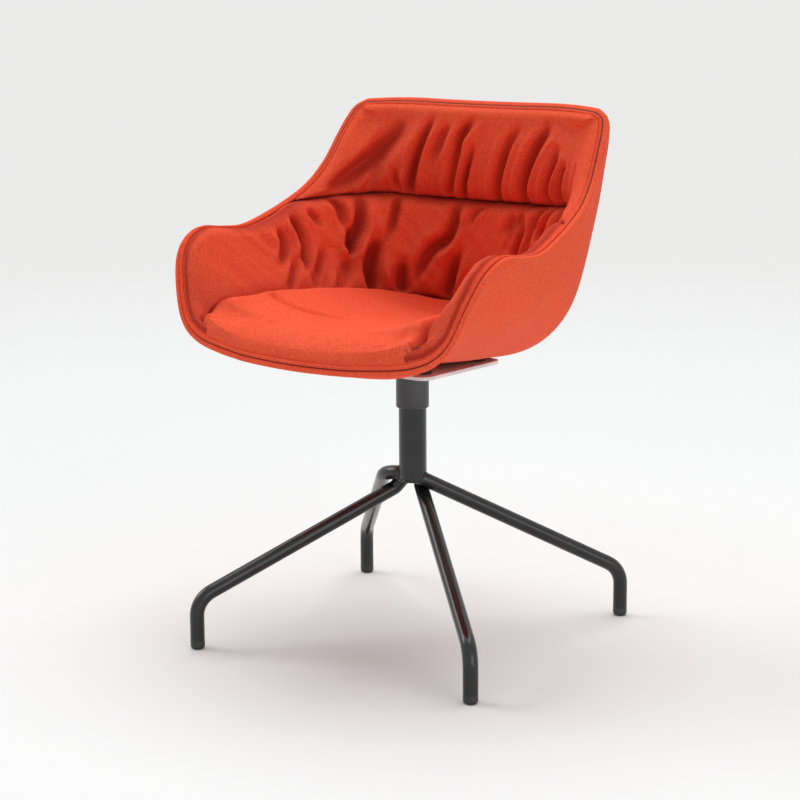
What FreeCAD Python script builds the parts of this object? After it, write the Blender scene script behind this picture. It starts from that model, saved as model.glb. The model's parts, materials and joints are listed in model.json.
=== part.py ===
# Swivel armchair: a quilted bucket seat that turns on a column with four bent tube legs.
# Millimetres, +Z up. The origin is on the floor under the column; the sitter faces -Y.

import FreeCAD
import Part
import os
from math import atan2, cos, exp, hypot, pi, radians, sin, sqrt, tan

V = FreeCAD.Vector
doc = FreeCAD.newDocument("swivel_armchair")
sheet = doc.addObject("Spreadsheet::Sheet", "Sizes")

# Driving dimensions, one row each: alias, size, what it is
SIZES = [
    ("leg_diameter", 22.0, "outer diameter of the leg tubes"),
    ("leg_wall", 2.0, "wall of the leg tubes"),
    ("foot_circle_radius", 337.0, "column axis to each foot"),
    ("foot_corner_height", 76.0, "where a leg's slope and its foot would meet"),
    ("foot_bend_radius", 40.0, "centre line radius above each foot"),
    ("hub_bend_radius", 51.0, "centre line radius of the rear legs' bend"),
    ("knuckle_bend_radius", 13.5, "centre line radius of the front legs' bends"),
    ("rear_hub_height", 274.0, "where the rear legs' centre lines would meet"),
    ("rear_hub_forward", 37.5, "that meeting point, in front of the column axis"),
    ("hub_sideways", 21.9, "that meeting point, left of the column axis"),
    ("front_hub_drop", 34.8, "where the front legs' lines would meet, below the rear legs'"),
    ("front_hub_behind", 42.3, "that meeting point, behind the column axis"),
    ("front_hub_sideways", 17.1, "that meeting point, left of the column axis"),
    ("knuckle_drop", 8.0, "top corner of the front legs' knuckle, below the rear legs' hub"),
    ("knuckle_behind", 33.0, "that corner, behind the column axis"),
    ("knuckle_sideways", 9.5, "that corner, left of the column axis"),
    ("knuckle_left_behind", 13.1, "left leg's corner before the knuckle, behind the axis"),
    ("knuckle_right_behind", 22.0, "right leg's corner before the knuckle, behind the axis"),
    ("base_turn", 7.6, "degrees from the seat's front to the legs' front"),
    ("glide_height", 13.0, "visible height of a foot glide"),
    ("glide_flat_radius", 6.0, "flat that stands on the floor"),
    ("plug_length", 20.0, "glide plug inside the tube"),
    ("column_diameter", 42.4, "outer diameter of the column"),
    ("column_wall", 2.5, "wall of the column"),
    ("column_foot_drop", 31.0, "column before coping, below the rear legs' hub"),
    ("spindle_diameter", 25.0, "spindle that carries the seat"),
    ("spindle_clearance", 0.05, "radial running clearance in the bushes"),
    ("bush_length", 25.0, "each bush in the column"),
    ("bush_flange", 3.0, "flange of the upper bush on the column"),
    ("bush_gap", 40.0, "between the two bushes"),
    ("thrust_thickness", 1.8, "each of the two thrust washers"),
    ("retainer_thickness", 2.0, "washer below the lower bush"),
    ("ring_thickness", 1.5, "retaining ring in the spindle's groove"),
    ("ring_groove_depth", 0.9, "depth of that groove"),
    ("ring_proud", 3.0, "retaining ring, out from the spindle"),
    ("retainer_margin", 1.5, "washer's edge to the column's bore"),
    ("axial_play", 0.4, "between the lower bush and its washer"),
    ("spindle_tail", 9.0, "spindle below the retaining ring"),
    ("tail_clearance", 7.1, "between the spindle's end and the rear legs' hub"),
    ("hub_length", 19.4, "seat hub, from the thrust washers to the seat plate"),
    ("sleeve_diameter", 50.0, "outer diameter of the column sleeve"),
    ("sleeve_wall", 2.0, "wall of the sleeve"),
    ("sleeve_overlap", 39.0, "sleeve, down over the column's top"),
    ("sleeve_chamfer", 1.2, "chamfer at the sleeve's bottom edge"),
    ("plate_width", 200.0, "seat plate, side to side"),
    ("plate_depth", 190.0, "seat plate, front to back"),
    ("plate_thickness", 5.0, "seat plate"),
    ("plate_corner", 18.0, "corner radius of the seat plate"),
    ("screw_spacing_x", 150.0, "seat screws, side to side"),
    ("screw_spacing_y", 130.0, "seat screws, front to back"),
    ("screw_diameter", 6.0, "seat screws"),
    ("screw_head_diameter", 11.0, "heads of the seat screws"),
    ("screw_head_height", 3.5, "heads of the seat screws"),
    ("screw_clearance", 0.3, "radial clearance of a screw's hole"),
    ("insert_floor", 3.5, "insert left above the screw's tip"),
    ("spacer_diameter", 22.0, "rubber spacers between plate and shell"),
    ("insert_diameter", 10.0, "threaded inserts in the shell"),
    ("bucket_half_width", 295.0, "column axis to the widest rim"),
    ("front_reach", 270.0, "column axis to the front rim"),
    ("back_reach", 226.0, "column axis to the outermost back"),
    ("plate_to_bucket", 4.0, "seat plate to the bucket's level of 0"),
    ("arm_rise", 190.0, "arm rim above the bucket's level of 0"),
    ("back_rise", 377.0, "back rim above the bucket's level of 0"),
    ("cover_thickness", 3.0, "outer cover with its backing"),
    ("shell_thickness", 11.0, "moulded shell"),
    ("lining_thickness", 12.0, "foam lining of the whole inside"),
    ("soft_gap", 0.6, "clearance between soft layers"),
    ("pad_gap", 1.2, "glue and cloth between the lining and the pads"),
    ("band_bulge", 3.2, "height of the rim band over the wall's edge"),
    ("piping_diameter", 5.5, "piping along the rim band"),
    ("piping_margin", 9.0, "piping to the lining's edge"),
    ("seam_rise", 223.0, "seam across the back, above the bucket's level of 0"),
    ("seat_crown", 31.0, "seat pad thickness in the middle"),
    ("arm_crown", 12.0, "arm pad thickness in the middle"),
    ("lower_back_crown", 22.0, "lower back pad thickness in the middle"),
    ("upper_back_crown", 16.0, "upper back pad thickness in the middle"),
    ("pad_edge", 5.0, "thickness of a pad at its drawn-in edge"),
    ("pleat_depth", 2.5, "depth of the gathered pleats"),
]
# Heights above the floor, each stacked on the one below it: alias, sum, what it is
STACK = [
    ("front_hub_height", "rear_hub_height - front_hub_drop", "front legs' meeting point"),
    ("knuckle_height", "rear_hub_height - knuckle_drop", "top corner of the knuckle"),
    ("column_foot_height", "rear_hub_height - column_foot_drop", "column before coping"),
    ("tail_height", "rear_hub_height + leg_diameter / 2 + tail_clearance", "spindle's end"),
    ("lower_bush_height", "tail_height + spindle_tail + ring_thickness"
     " + retainer_thickness + axial_play", "bottom face of the lower bush"),
    ("column_top_height", "lower_bush_height + 2 * bush_length + bush_gap", "column's top"),
    ("sleeve_bottom_height", "column_top_height - sleeve_overlap", "sleeve's bottom edge"),
    ("plate_top_height", "column_top_height + bush_flange + 2 * thrust_thickness"
     " + hub_length + plate_thickness", "top face of the seat plate"),
    ("under_height", "plate_top_height + plate_to_bucket", "the bucket's level of 0"),
    ("seam_height", "under_height + seam_rise", "seam across the back"),
]
rows = [(alias, "%g" % size, note) for alias, size, note in SIZES]
rows += [(alias, "=" + total, note) for alias, total, note in STACK]
for row, (alias, content, note) in enumerate(rows, start=1):
    sheet.set("A%d" % row, note)
    sheet.set("B%d" % row, content)
    sheet.setAlias("B%d" % row, alias)
doc.recompute()


def size(alias):
    return float(getattr(sheet, alias))


# Document helpers

PARTS = []


def sub_part(obj, label):
    obj.Label = label
    PARTS.append(obj)
    return obj


def bind(obj, **formulas):
    for prop, formula in formulas.items():
        obj.setExpression(prop.replace("__", "."), formula)
    return obj


def cylinder(name, radius, height, bottom):
    return bind(doc.addObject("Part::Cylinder", name), Radius=radius, Height=height,
                Placement__Base__z=bottom)


def cut(name, base, tool):
    obj = doc.addObject("Part::Cut", name)
    obj.Base = base
    obj.Tool = tool
    return obj


def fuse(name, shapes):
    obj = doc.addObject("Part::MultiFuse", name)
    obj.Shapes = shapes
    return obj


def shaped(label, shape):
    obj = doc.addObject("Part::Feature", label)
    obj.Shape = shape
    return sub_part(obj, label)


def ring(label, outer, inner, height, bottom):
    """A plain ring from an outer and an inner cylinder bound to the sheet."""
    return sub_part(cut(label, cylinder(label + "_outer", outer, height, bottom),
                        cylinder(label + "_bore", inner, height, bottom)), label)


# Leg tubes: straight runs joined by tangent arcs, swept with the tube's section

def turned(x, y, z):
    """A point of the legs' own frame, turned about the column to the seat's frame."""
    a = radians(size("base_turn"))
    return V(x * cos(a) - y * sin(a), x * sin(a) + y * cos(a), z)


def bent_path(corners, radii):
    """A wire through the corners, with an arc of the given radius at each inner one."""
    edges = []
    last = corners[0]
    for i in range(1, len(corners) - 1):
        back = (corners[i - 1] - corners[i]).normalize()
        ahead = (corners[i + 1] - corners[i]).normalize()
        inner_angle = back.getAngle(ahead)
        reach = radii[i - 1] / tan(inner_angle / 2)
        bisector = (back + ahead).normalize()
        centre = corners[i] + bisector * (radii[i - 1] / sin(inner_angle / 2))
        start = corners[i] + back * reach
        end = corners[i] + ahead * reach
        edges.append(Part.LineSegment(last, start).toShape())
        edges.append(Part.Arc(start, centre - bisector * radii[i - 1], end).toShape())
        last = end
    edges.append(Part.LineSegment(last, corners[-1]).toShape())
    return Part.Wire(edges)


def swept(path, radius):
    start = path.Edges[0].Vertexes[0].Point
    direction = path.Edges[0].tangentAt(path.Edges[0].FirstParameter)
    profile = Part.Wire(Part.Circle(start, direction, radius).toShape())
    return path.makePipeShell([profile], True, False)


FOOT = size("foot_circle_radius") / sqrt(2)
FEET = {"front_left": (-FOOT, -FOOT), "front_right": (FOOT, -FOOT),
        "rear_left": (-FOOT, FOOT), "rear_right": (FOOT, FOOT)}


def leg_points(foot):
    x, y = FEET[foot]
    return [turned(x, y, size("glide_height")), turned(x, y, size("foot_corner_height"))]


def along(foot_x, y):
    """The point at depth y on the straight line from a front foot's corner to the hub."""
    share = (y + FOOT) / (size("front_hub_behind") + FOOT)
    low = size("foot_corner_height")
    return turned(foot_x - (size("front_hub_sideways") + foot_x) * share, y,
                  low + (size("front_hub_height") - low) * share)


def rear_leg_path():
    hub = turned(-size("hub_sideways"), -size("rear_hub_forward"), size("rear_hub_height"))
    corners = leg_points("rear_left") + [hub] + leg_points("rear_right")[::-1]
    foot = size("foot_bend_radius")
    return bent_path(corners, [foot, size("hub_bend_radius"), foot])


def front_leg_path():
    """The front legs rise in a knuckle behind the column, clear of the rear legs."""
    left = along(-FOOT, size("knuckle_left_behind"))
    right = along(FOOT, size("knuckle_right_behind"))
    top = turned(-size("knuckle_sideways"), size("knuckle_behind"), size("knuckle_height"))
    corners = leg_points("front_left") + [left, top, right] + leg_points("front_right")[::-1]
    foot = size("foot_bend_radius")
    knuckle = size("knuckle_bend_radius")
    return bent_path(corners, [foot, knuckle, knuckle, knuckle, foot])


def leg_tubes():
    outer = size("leg_diameter") / 2
    inner = outer - size("leg_wall")
    solids = {}
    for label, path in (("rear_leg_tube", rear_leg_path()), ("front_leg_tube", front_leg_path())):
        solid = swept(path, outer)
        print(label, "volume over section times length:",
              round(solid.Volume / (pi * outer ** 2 * path.Length), 4))
        solids[label] = solid
        shaped(label, solid.cut(swept(path, inner)))
    return solids


LEG_SOLIDS = leg_tubes()


# Foot glides: a rounded cap below the tube and a plug inside it

def glide(foot):
    cap = size("glide_height")
    radius = size("leg_diameter") / 2
    plug = radius - size("leg_wall")
    flat = size("glide_flat_radius")
    round_off = radius - flat
    outline = [
        Part.LineSegment(V(0, 0, 0), V(flat, 0, 0)).toShape(),
        Part.Arc(V(flat, 0, 0), V(flat + round_off * sin(pi / 4), 0, round_off * (1 - cos(pi / 4))),
                 V(radius, 0, round_off)).toShape(),
        Part.LineSegment(V(radius, 0, round_off), V(radius, 0, cap)).toShape(),
        Part.LineSegment(V(radius, 0, cap), V(plug, 0, cap)).toShape(),
        Part.LineSegment(V(plug, 0, cap), V(plug, 0, cap + size("plug_length"))).toShape(),
        Part.LineSegment(V(plug, 0, cap + size("plug_length")),
                         V(0, 0, cap + size("plug_length"))).toShape(),
        Part.LineSegment(V(0, 0, cap + size("plug_length")), V(0, 0, 0)).toShape(),
    ]
    solid = Part.Face(Part.Wire(outline)).revolve(V(0, 0, 0), V(0, 0, 1), 360)
    obj = shaped(foot + "_glide", solid)
    obj.Placement.Base = turned(*FEET[foot], 0)


for foot_name in FEET:
    glide(foot_name)


# Column, coped over both leg tubes

def column():
    blank = cut("column_blank",
                cylinder("column_outer", "Sizes.column_diameter / 2",
                         "Sizes.column_top_height - Sizes.column_foot_height",
                         "Sizes.column_foot_height"),
                cylinder("column_bore", "Sizes.column_diameter / 2 - Sizes.column_wall",
                         "Sizes.column_top_height - Sizes.column_foot_height",
                         "Sizes.column_foot_height"))
    doc.recompute()
    shape = blank.Shape
    for solid in LEG_SOLIDS.values():
        shape = shape.cut(solid)
    pieces = sorted(shape.Solids, key=lambda s: s.Volume)
    shaped("column_tube", pieces[-1])


column()

# Bushes and thrust washers in the column's top

BORE = "Sizes.column_diameter / 2 - Sizes.column_wall"
RUNNING = "Sizes.spindle_diameter / 2 + Sizes.spindle_clearance"
ring("lower_bush", BORE, RUNNING, "Sizes.bush_length", "Sizes.lower_bush_height")

upper_body = fuse("upper_bush_body", [
    cylinder("upper_bush_barrel", BORE, "Sizes.bush_length",
             "Sizes.column_top_height - Sizes.bush_length"),
    cylinder("upper_bush_flange", "Sizes.column_diameter / 2", "Sizes.bush_flange",
             "Sizes.column_top_height")])
sub_part(cut("upper_bush", upper_body,
             cylinder("upper_bush_bore", RUNNING, "Sizes.bush_length + Sizes.bush_flange",
                      "Sizes.column_top_height - Sizes.bush_length")), "upper_bush")

WASHER_BASE = "Sizes.column_top_height + Sizes.bush_flange"
ring("steel_thrust_washer", "Sizes.column_diameter / 2", RUNNING, "Sizes.thrust_thickness",
     WASHER_BASE)
ring("nylon_thrust_washer", "Sizes.column_diameter / 2", RUNNING, "Sizes.thrust_thickness",
     WASHER_BASE + " + Sizes.thrust_thickness")

# Spindle, its retaining pieces, the hub under the seat and the sleeve round it

PLATE_UNDER = "Sizes.plate_top_height - Sizes.plate_thickness"
HUB_BASE = WASHER_BASE + " + 2 * Sizes.thrust_thickness"
SLEEVE_BORE = "Sizes.sleeve_diameter / 2 - Sizes.sleeve_wall"
RETAINER_TOP = "Sizes.lower_bush_height - Sizes.axial_play"
RING_TOP = RETAINER_TOP + " - Sizes.retainer_thickness"
TAIL = RING_TOP + " - Sizes.ring_thickness - Sizes.spindle_tail"

spindle_bar = cylinder("spindle_bar", "Sizes.spindle_diameter / 2",
                       PLATE_UNDER + " - (" + TAIL + ")", TAIL)
groove = cut("spindle_groove",
             cylinder("groove_outer", "Sizes.spindle_diameter", "Sizes.ring_thickness",
                      RING_TOP + " - Sizes.ring_thickness"),
             cylinder("groove_core", "Sizes.spindle_diameter / 2 - Sizes.ring_groove_depth",
                      "Sizes.ring_thickness", RING_TOP + " - Sizes.ring_thickness"))
sub_part(cut("spindle", spindle_bar, groove), "spindle")
ring("retaining_washer", BORE + " - Sizes.retainer_margin", RUNNING,
     "Sizes.retainer_thickness", RING_TOP)
ring("retaining_ring", "Sizes.spindle_diameter / 2 + Sizes.ring_proud",
     "Sizes.spindle_diameter / 2 - Sizes.ring_groove_depth", "Sizes.ring_thickness",
     RING_TOP + " - Sizes.ring_thickness")
ring("seat_hub", SLEEVE_BORE, "Sizes.spindle_diameter / 2",
     PLATE_UNDER + " - (" + HUB_BASE + ")", HUB_BASE)

sleeve_blank = cut("sleeve_blank",
                   cylinder("sleeve_outer", "Sizes.sleeve_diameter / 2",
                            PLATE_UNDER + " - Sizes.sleeve_bottom_height",
                            "Sizes.sleeve_bottom_height"),
                   cylinder("sleeve_bore", SLEEVE_BORE,
                            PLATE_UNDER + " - Sizes.sleeve_bottom_height",
                            "Sizes.sleeve_bottom_height"))
doc.recompute()


def outer_bottom_edge(shape, radius, height):
    for number, edge in enumerate(shape.Edges, start=1):
        on_circle = hasattr(edge.Curve, "Radius") and abs(edge.Curve.Radius - radius) < 1e-6
        if on_circle and abs(edge.BoundBox.ZMax - height) < 1e-6:
            return number


sleeve = doc.addObject("Part::Chamfer", "column_sleeve")
sleeve.Base = sleeve_blank
sleeve_edge = outer_bottom_edge(sleeve_blank.Shape, size("sleeve_diameter") / 2,
                                size("sleeve_bottom_height"))
sleeve.Edges = [(sleeve_edge, size("sleeve_chamfer"), size("sleeve_chamfer"))]
sub_part(sleeve, "column_sleeve")

# Bucket form. Sections run across the bucket from the front edge, under the seat and up the
# back, each in a plane through the spine point and the two rim points. A level of 0 is just
# above the seat plate, 1 the arm's rim and 2 the back's rim. A negative reach is forward.
# Columns: rim width, rim reach, rim level, spine reach, spine level, wall lean, fullness.
STATIONS = [
    (0.356, -0.981, 0.129, -1.000, 0.116, 6.1, 1.0),
    (0.681, -0.919, 0.189, -0.938, 0.114, 16, 1.0),
    (0.854, -0.874, 0.347, -0.876, 0.108, 38, 1.2),
    (0.946, -0.811, 0.674, -0.800, 0.084, 57, 0.8),
    (0.986, -0.730, 0.884, -0.637, 0.058, 68, 0.8),
    (1.000, -0.593, 1.000, -0.396, 0.037, 77, 1.1),
    (0.997, -0.426, 0.989, -0.125, 0.016, 82, 1.5),
    (0.980, -0.241, 0.989, 0.247, 0.000, 84.3, 2.0),
    (0.953, -0.019, 1.091, 0.675, -0.020, 85.5, 2.7),
    (0.922, 0.265, 1.257, 0.890, 0.225, 77, 2.5),
    (0.895, 0.442, 1.455, 0.965, 0.628, 76.5, 1.9),
    (0.871, 0.566, 1.684, 0.980, 1.050, 77.5, 2.4),
    (0.852, 0.646, 1.829, 0.942, 1.455, 77, 2.2),
    (0.822, 0.699, 1.925, 0.885, 1.802, 70, 2.0),
    (0.755, 0.735, 1.984, 0.792, 2.000, 20, 1.0),
]
LAST = len(STATIONS) - 1
SECTION_PITCH = 0.25
HALF_COLUMNS = 24
SPINE_SPAN = 0.5


def reach(share):
    return share * (size("front_reach") if share < 0 else size("back_reach"))


def level(share):
    low = size("arm_rise") * min(share, 1)
    high = (size("back_rise") - size("arm_rise")) * max(share - 1, 0)
    return size("under_height") + low + high


def station(v):
    """The section values at v, on a smooth curve through the rows above."""
    i = min(int(v), LAST - 1)
    f = v - i
    rows = [STATIONS[max(0, min(LAST, i + k))] for k in (-1, 0, 1, 2)]
    values = []
    for a, b, c, d in zip(*rows):
        values.append(b + f * (c - a) / 2 + f * f * (a - 2.5 * b + 2 * c - d / 2)
                      + f * f * f * (1.5 * (b - c) + (d - a) / 2))
    return values


class Section:
    """Half of a section as two tangent arcs, from the spine point to the rim point."""

    def __init__(self, v):
        wide, rim_reach, rim_level, spine_reach, spine_level, lean, fullness = station(v)
        self.y, self.z = reach(spine_reach), level(spine_level)
        side_y = reach(rim_reach) - self.y
        side_z = level(rim_level) - self.z
        self.rise = hypot(side_y, side_z)
        self.dy, self.dz = side_y / self.rise, side_z / self.rise
        self.half_width = wide * size("bucket_half_width")
        self.lean = radians(lean)
        self.find_arcs(fullness)

    def find_arcs(self, fullness):
        x, w = self.half_width, self.rise
        tx, tw = cos(self.lean), sin(self.lean)
        a = 2 * fullness * (1 - tx)
        b = 2 * (x * (fullness + tx) + w * tw)
        c = -(x * x + w * w)
        second = (-b + sqrt(b * b - 4 * a * c)) / (2 * a)
        first = fullness * second
        qx, qw = x - second * tx, w - second * tw
        share = first / (first + second)
        self.turn = atan2(qw, qx - first)
        self.join = (first + (qx - first) * share, qw * share)
        self.radii = (first / tan(self.turn / 2),
                      second / tan((self.lean - self.turn) / 2))
        self.lengths = (self.radii[0] * self.turn,
                        self.radii[1] * (self.lean - self.turn))

    def flat_point(self, share):
        """Across and up in the section's plane, and the slope there."""
        run = abs(share) * sum(self.lengths)
        if run <= self.lengths[0]:
            angle = run / self.radii[0]
            return self.radii[0] * sin(angle), self.radii[0] * (1 - cos(angle)), angle
        angle = self.turn + (run - self.lengths[0]) / self.radii[1]
        return (self.join[0] + self.radii[1] * (sin(angle) - sin(self.turn)),
                self.join[1] + self.radii[1] * (cos(self.turn) - cos(angle)), angle)

    def point(self, share):
        """On the outer face, share of the way to a rim (minus = left)."""
        x, w, _ = self.flat_point(share)
        return V(x if share >= 0 else -x, self.y + self.dy * w, self.z + self.dz * w)


SECTIONS = {}


def section(v):
    key = round(v, 4)
    if key not in SECTIONS:
        SECTIONS[key] = Section(key)
    return SECTIONS[key]


def line(a, b):
    return Part.LineSegment(a, b).toShape()


def inward(v, share):
    """Towards the sitter: square to the spine in the middle, and to the wall at the sides."""
    low, high = section(max(0, v - SPINE_SPAN)), section(min(LAST, v + SPINE_SPAN))
    run = hypot(high.y - low.y, high.z - low.z)
    angle = section(v).flat_point(share)[2]
    side = sin(angle) if share < 0 else -sin(angle)
    return V(side, -cos(angle) * (high.z - low.z) / run, cos(angle) * (high.y - low.y) / run)


def lifted(v, share, offset):
    return section(v).point(share) + inward(v, share) * offset


def steps(start, end, pitch):
    count = max(1, round((end - start) / pitch))
    return [start + (end - start) * i / count for i in range(count + 1)]


# Layers: two smooth faces through grids of points, closed along their four edges

def sewn(faces):
    """One solid inside the faces, which meet along shared edges."""
    shell = Part.makeShell(faces)
    shell.sewShape()
    solid = Part.makeSolid(shell)
    if solid.Volume < 0:
        solid.reverse()
    return solid


def smooth_face(points):
    surface = Part.BSplineSurface()
    surface.interpolate(points)
    return surface.toShape()


def between(low, high):
    """The solid between two grids of points."""
    bottom = smooth_face(low)
    top = smooth_face(high)
    sides = [Part.makeRuledSurface(a, b) for a, b in zip(bottom.Edges, top.Edges)]
    return sewn([bottom, top] + sides)


def wall_layer(outer, inner, start=0.0, end=float(LAST), drop=0.0):
    low = []
    high = []
    for v in steps(start, end, SECTION_PITCH):
        rim = 1 - drop / sum(section(v).lengths)
        shares = [rim * i / HALF_COLUMNS for i in range(-HALF_COLUMNS, HALF_COLUMNS + 1)]
        low.append([lifted(v, share, outer) for share in shares])
        high.append([lifted(v, share, inner) for share in shares])
    return between(low, high)


COVER = size("cover_thickness")
WALL = COVER + size("shell_thickness")
LINING_BASE = WALL + size("soft_gap")
LINING_TOP = LINING_BASE + size("lining_thickness")
PAD_BASE = LINING_TOP + size("pad_gap")

# Seat plate with its screw holes

plate_box = bind(doc.addObject("Part::Box", "plate_box"), Length="Sizes.plate_width",
                 Width="Sizes.plate_depth", Height="Sizes.plate_thickness",
                 Placement__Base__x="-Sizes.plate_width / 2",
                 Placement__Base__y="-Sizes.plate_depth / 2", Placement__Base__z=PLATE_UNDER)
doc.recompute()
upright = [n for n, edge in enumerate(plate_box.Shape.Edges, start=1)
           if edge.BoundBox.ZLength > size("plate_thickness") / 2]
plate_round = doc.addObject("Part::Fillet", "plate_round")
plate_round.Base = plate_box
plate_round.Edges = [(n, size("plate_corner"), size("plate_corner")) for n in upright]

SCREW_PLACES = [V(i * size("screw_spacing_x") / 2, j * size("screw_spacing_y") / 2, 0)
                for i in (-1, 1) for j in (-1, 1)]


def posts(radius, bottom, height):
    """One upright cylinder at each seat screw."""
    return [Part.makeCylinder(radius, height, place + V(0, 0, bottom)) for place in SCREW_PLACES]


SCREW = size("screw_diameter") / 2
HOLE = SCREW + size("screw_clearance")
PLATE_TOP = size("plate_top_height")
UNDER_PLATE = PLATE_TOP - size("plate_thickness")
OVER = size("arm_rise")

doc.recompute()
shaped("seat_plate", plate_round.Shape.cut(Part.makeCompound(posts(HOLE, UNDER_PLATE - 1, OVER))))


# Cover, shell, inserts, spacers and screws

def outer_layers():
    cover = wall_layer(0, COVER)
    shell = wall_layer(COVER, WALL)
    inserts = []
    screws = []
    spacers = []
    for place, wide in zip(SCREW_PLACES, posts(size("insert_diameter") / 2, UNDER_PLATE, OVER)):
        insert = shell.common(wide)
        top = insert.optimalBoundingBox(False).ZMax
        tip = top - size("insert_floor")
        bore = Part.makeCylinder(SCREW, tip - UNDER_PLATE, place + V(0, 0, UNDER_PLATE))
        inserts.append(insert.cut(bore))
        shell = shell.cut(wide)
        shank = Part.makeCylinder(SCREW, tip - UNDER_PLATE, place + V(0, 0, UNDER_PLATE))
        head_low = UNDER_PLATE - size("screw_head_height")
        head = Part.makeCylinder(size("screw_head_diameter") / 2, size("screw_head_height"),
                                 place + V(0, 0, head_low))
        screws.append(shank.fuse(head).removeSplitter())
        opening = Part.makeCylinder(HOLE, top - UNDER_PLATE, place + V(0, 0, UNDER_PLATE))
        blank = Part.makeCylinder(size("spacer_diameter") / 2, top - PLATE_TOP,
                                  place + V(0, 0, PLATE_TOP))
        pieces = blank.cut(cover).cut(opening).Solids
        spacers.append(min(pieces, key=lambda piece: piece.BoundBox.ZMin))
        cover = cover.cut(opening)
    shaped("outer_cover", cover.Solids[0])
    shaped("moulded_shell", shell.Solids[0])
    shaped("shell_inserts", Part.makeCompound([one.Solids[0] for one in inserts]))
    shaped("seat_screws", Part.makeCompound([one.Solids[0] for one in screws]))
    shaped("seat_spacers", Part.makeCompound(spacers))


outer_layers()

# Rim band and piping: closed round the edge of the wall

def rim_places():
    """Each place round the rim: section number and share of the way to a rim."""
    front = [(0.0, i / HALF_COLUMNS) for i in range(0, HALF_COLUMNS + 1, 3)]
    sides = [(v, 1.0) for v in steps(SECTION_PITCH, LAST - SECTION_PITCH, SECTION_PITCH)]
    top = [(float(LAST), 1 - i / HALF_COLUMNS) for i in range(0, HALF_COLUMNS + 1, 3)]
    right = front + sides + top
    left = [(v, -share) for v, share in reversed(right[1:-1])]
    return right + left


def rim_frames():
    """Outer edge, inner edge and outward direction at each place round the rim."""
    places = rim_places()
    outer = [lifted(v, share, 0) for v, share in places]
    inner = [lifted(v, share, WALL) for v, share in places]
    frames = []
    for i, (a, b) in enumerate(zip(outer, inner)):
        tangent = outer[(i + 1) % len(outer)] - outer[i - 1]
        frames.append((a, b, tangent.cross(b - a).normalize()))
    return frames


def rim_band():
    wires = []
    for a, b, out in rim_frames():
        a, b = a + out * size("soft_gap"), b + out * size("soft_gap")
        crest = (a + b) / 2 + out * size("band_bulge")
        wires.append(Part.Wire([Part.Arc(a, crest, b).toShape(), line(b, a)]))
    return Part.makeLoft(wires, True, False, True)


def rim_piping():
    """A cord beside the band, on the wall's inner face: ruled between rings of arcs."""
    radius = size("piping_diameter") / 2
    rings = []
    for a, b, out in rim_frames():
        across = (b - a).normalize()
        centre = b + across * (radius + size("pad_gap")) + out * radius / 4
        points = [centre + across * radius * cos(t * pi / 4) + out * radius * sin(t * pi / 4)
                  for t in range(8)]
        points.append(points[0])
        rings.append([Part.Arc(*points[i:i + 3]).toShape() for i in range(0, 8, 2)])
    faces = []
    for i, edges in enumerate(rings):
        faces += [Part.makeRuledSurface(this, ahead)
                  for this, ahead in zip(edges, rings[(i + 1) % len(rings)])]
    return sewn(faces)


shaped("rim_band", rim_band())
shaped("rim_piping", rim_piping())

# Lining: an even foam layer over the whole inside, held back from the piping

LINING_START = 1.5
LINING_END = LAST - 0.5
LINING_DROP = size("piping_diameter") + size("piping_margin")
shaped("foam_lining", wall_layer(LINING_BASE, LINING_TOP, LINING_START, LINING_END, LINING_DROP))


# Pads: layers over part of the lining, crowned in the middle

def cushion(rows, columns, place, thickness):
    """A pad over a grid: row is 0 to 1 up the bucket, column -1 to 1 across it."""
    low = []
    high = []
    for i in range(rows + 1):
        row = i / rows
        shares = [2 * j / columns - 1 for j in range(columns + 1)]
        low.append([lifted(*place(row, share), PAD_BASE) for share in shares])
        high.append([lifted(*place(row, share), PAD_BASE + thickness(row, j, share))
                     for j, share in enumerate(shares)])
    return between(low, high)


def swell(row, column, crown):
    """Thickness of a pad: thin at its drawn-in edge, full in the middle."""
    full = sin(pi * row) ** SWELL_POWER * (1 - abs(column) ** SIDE_POWER)
    return size("pad_edge") + (size(crown) - size("pad_edge")) * full


SWELL_POWER = 0.5
SIDE_POWER = 4

# Seat pad: widest at the front, narrowing to a side share, rounded off at the rear
SEAT_START = 1.25
SEAT_END = 8.75
SEAT_SIDE = 0.54
SEAT_FLARE = 0.27
SEAT_FADE = 2.3
SEAT_ROUND = 0.26
SEAT_ROUND_START = 6.0


def seat_half(v):
    late = max(0, (v - SEAT_ROUND_START) / (SEAT_END - SEAT_ROUND_START))
    return SEAT_SIDE + SEAT_FLARE * exp((SEAT_START - v) / SEAT_FADE) - SEAT_ROUND * late ** 3


def seat_place(row, column):
    v = SEAT_START + (SEAT_END - SEAT_START) * row
    return v, column * seat_half(v)


# Arm pads: from beside the seat pad to the arm's rim
ARM_START = 2.5
ARM_END = 8.25
ARM_BESIDE = 0.05
ARM_TOP = 0.92


def arm_place(side):
    """The place function of the pad on one arm, -1 for the left and 1 for the right."""
    def place(row, column):
        v = ARM_START + (ARM_END - ARM_START) * row
        low = seat_half(v) + ARM_BESIDE
        return v, side * low + (ARM_TOP - low) * (column + side) / 2
    return place


# Back pads, above and below a level seam
BACK_HALF = 0.84
BACK_START = 8.8
BACK_START_DROP = 0.4
BACK_END = 13.4
BACK_END_DROP = 0.6
SEAM_GAP = 0.04


def seam(share):
    """The section number at which the lining reaches the seam's height."""
    low, high = BACK_START, BACK_END
    while high - low > SEAM_GAP / 10:
        middle = (low + high) / 2
        if lifted(middle, share, PAD_BASE).z < size("seam_height"):
            low = middle
        else:
            high = middle
    return low


def lower_place(row, column):
    share = column * BACK_HALF
    start = BACK_START - BACK_START_DROP * column ** 2
    return start + (seam(share) - SEAM_GAP - start) * row, share


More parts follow.
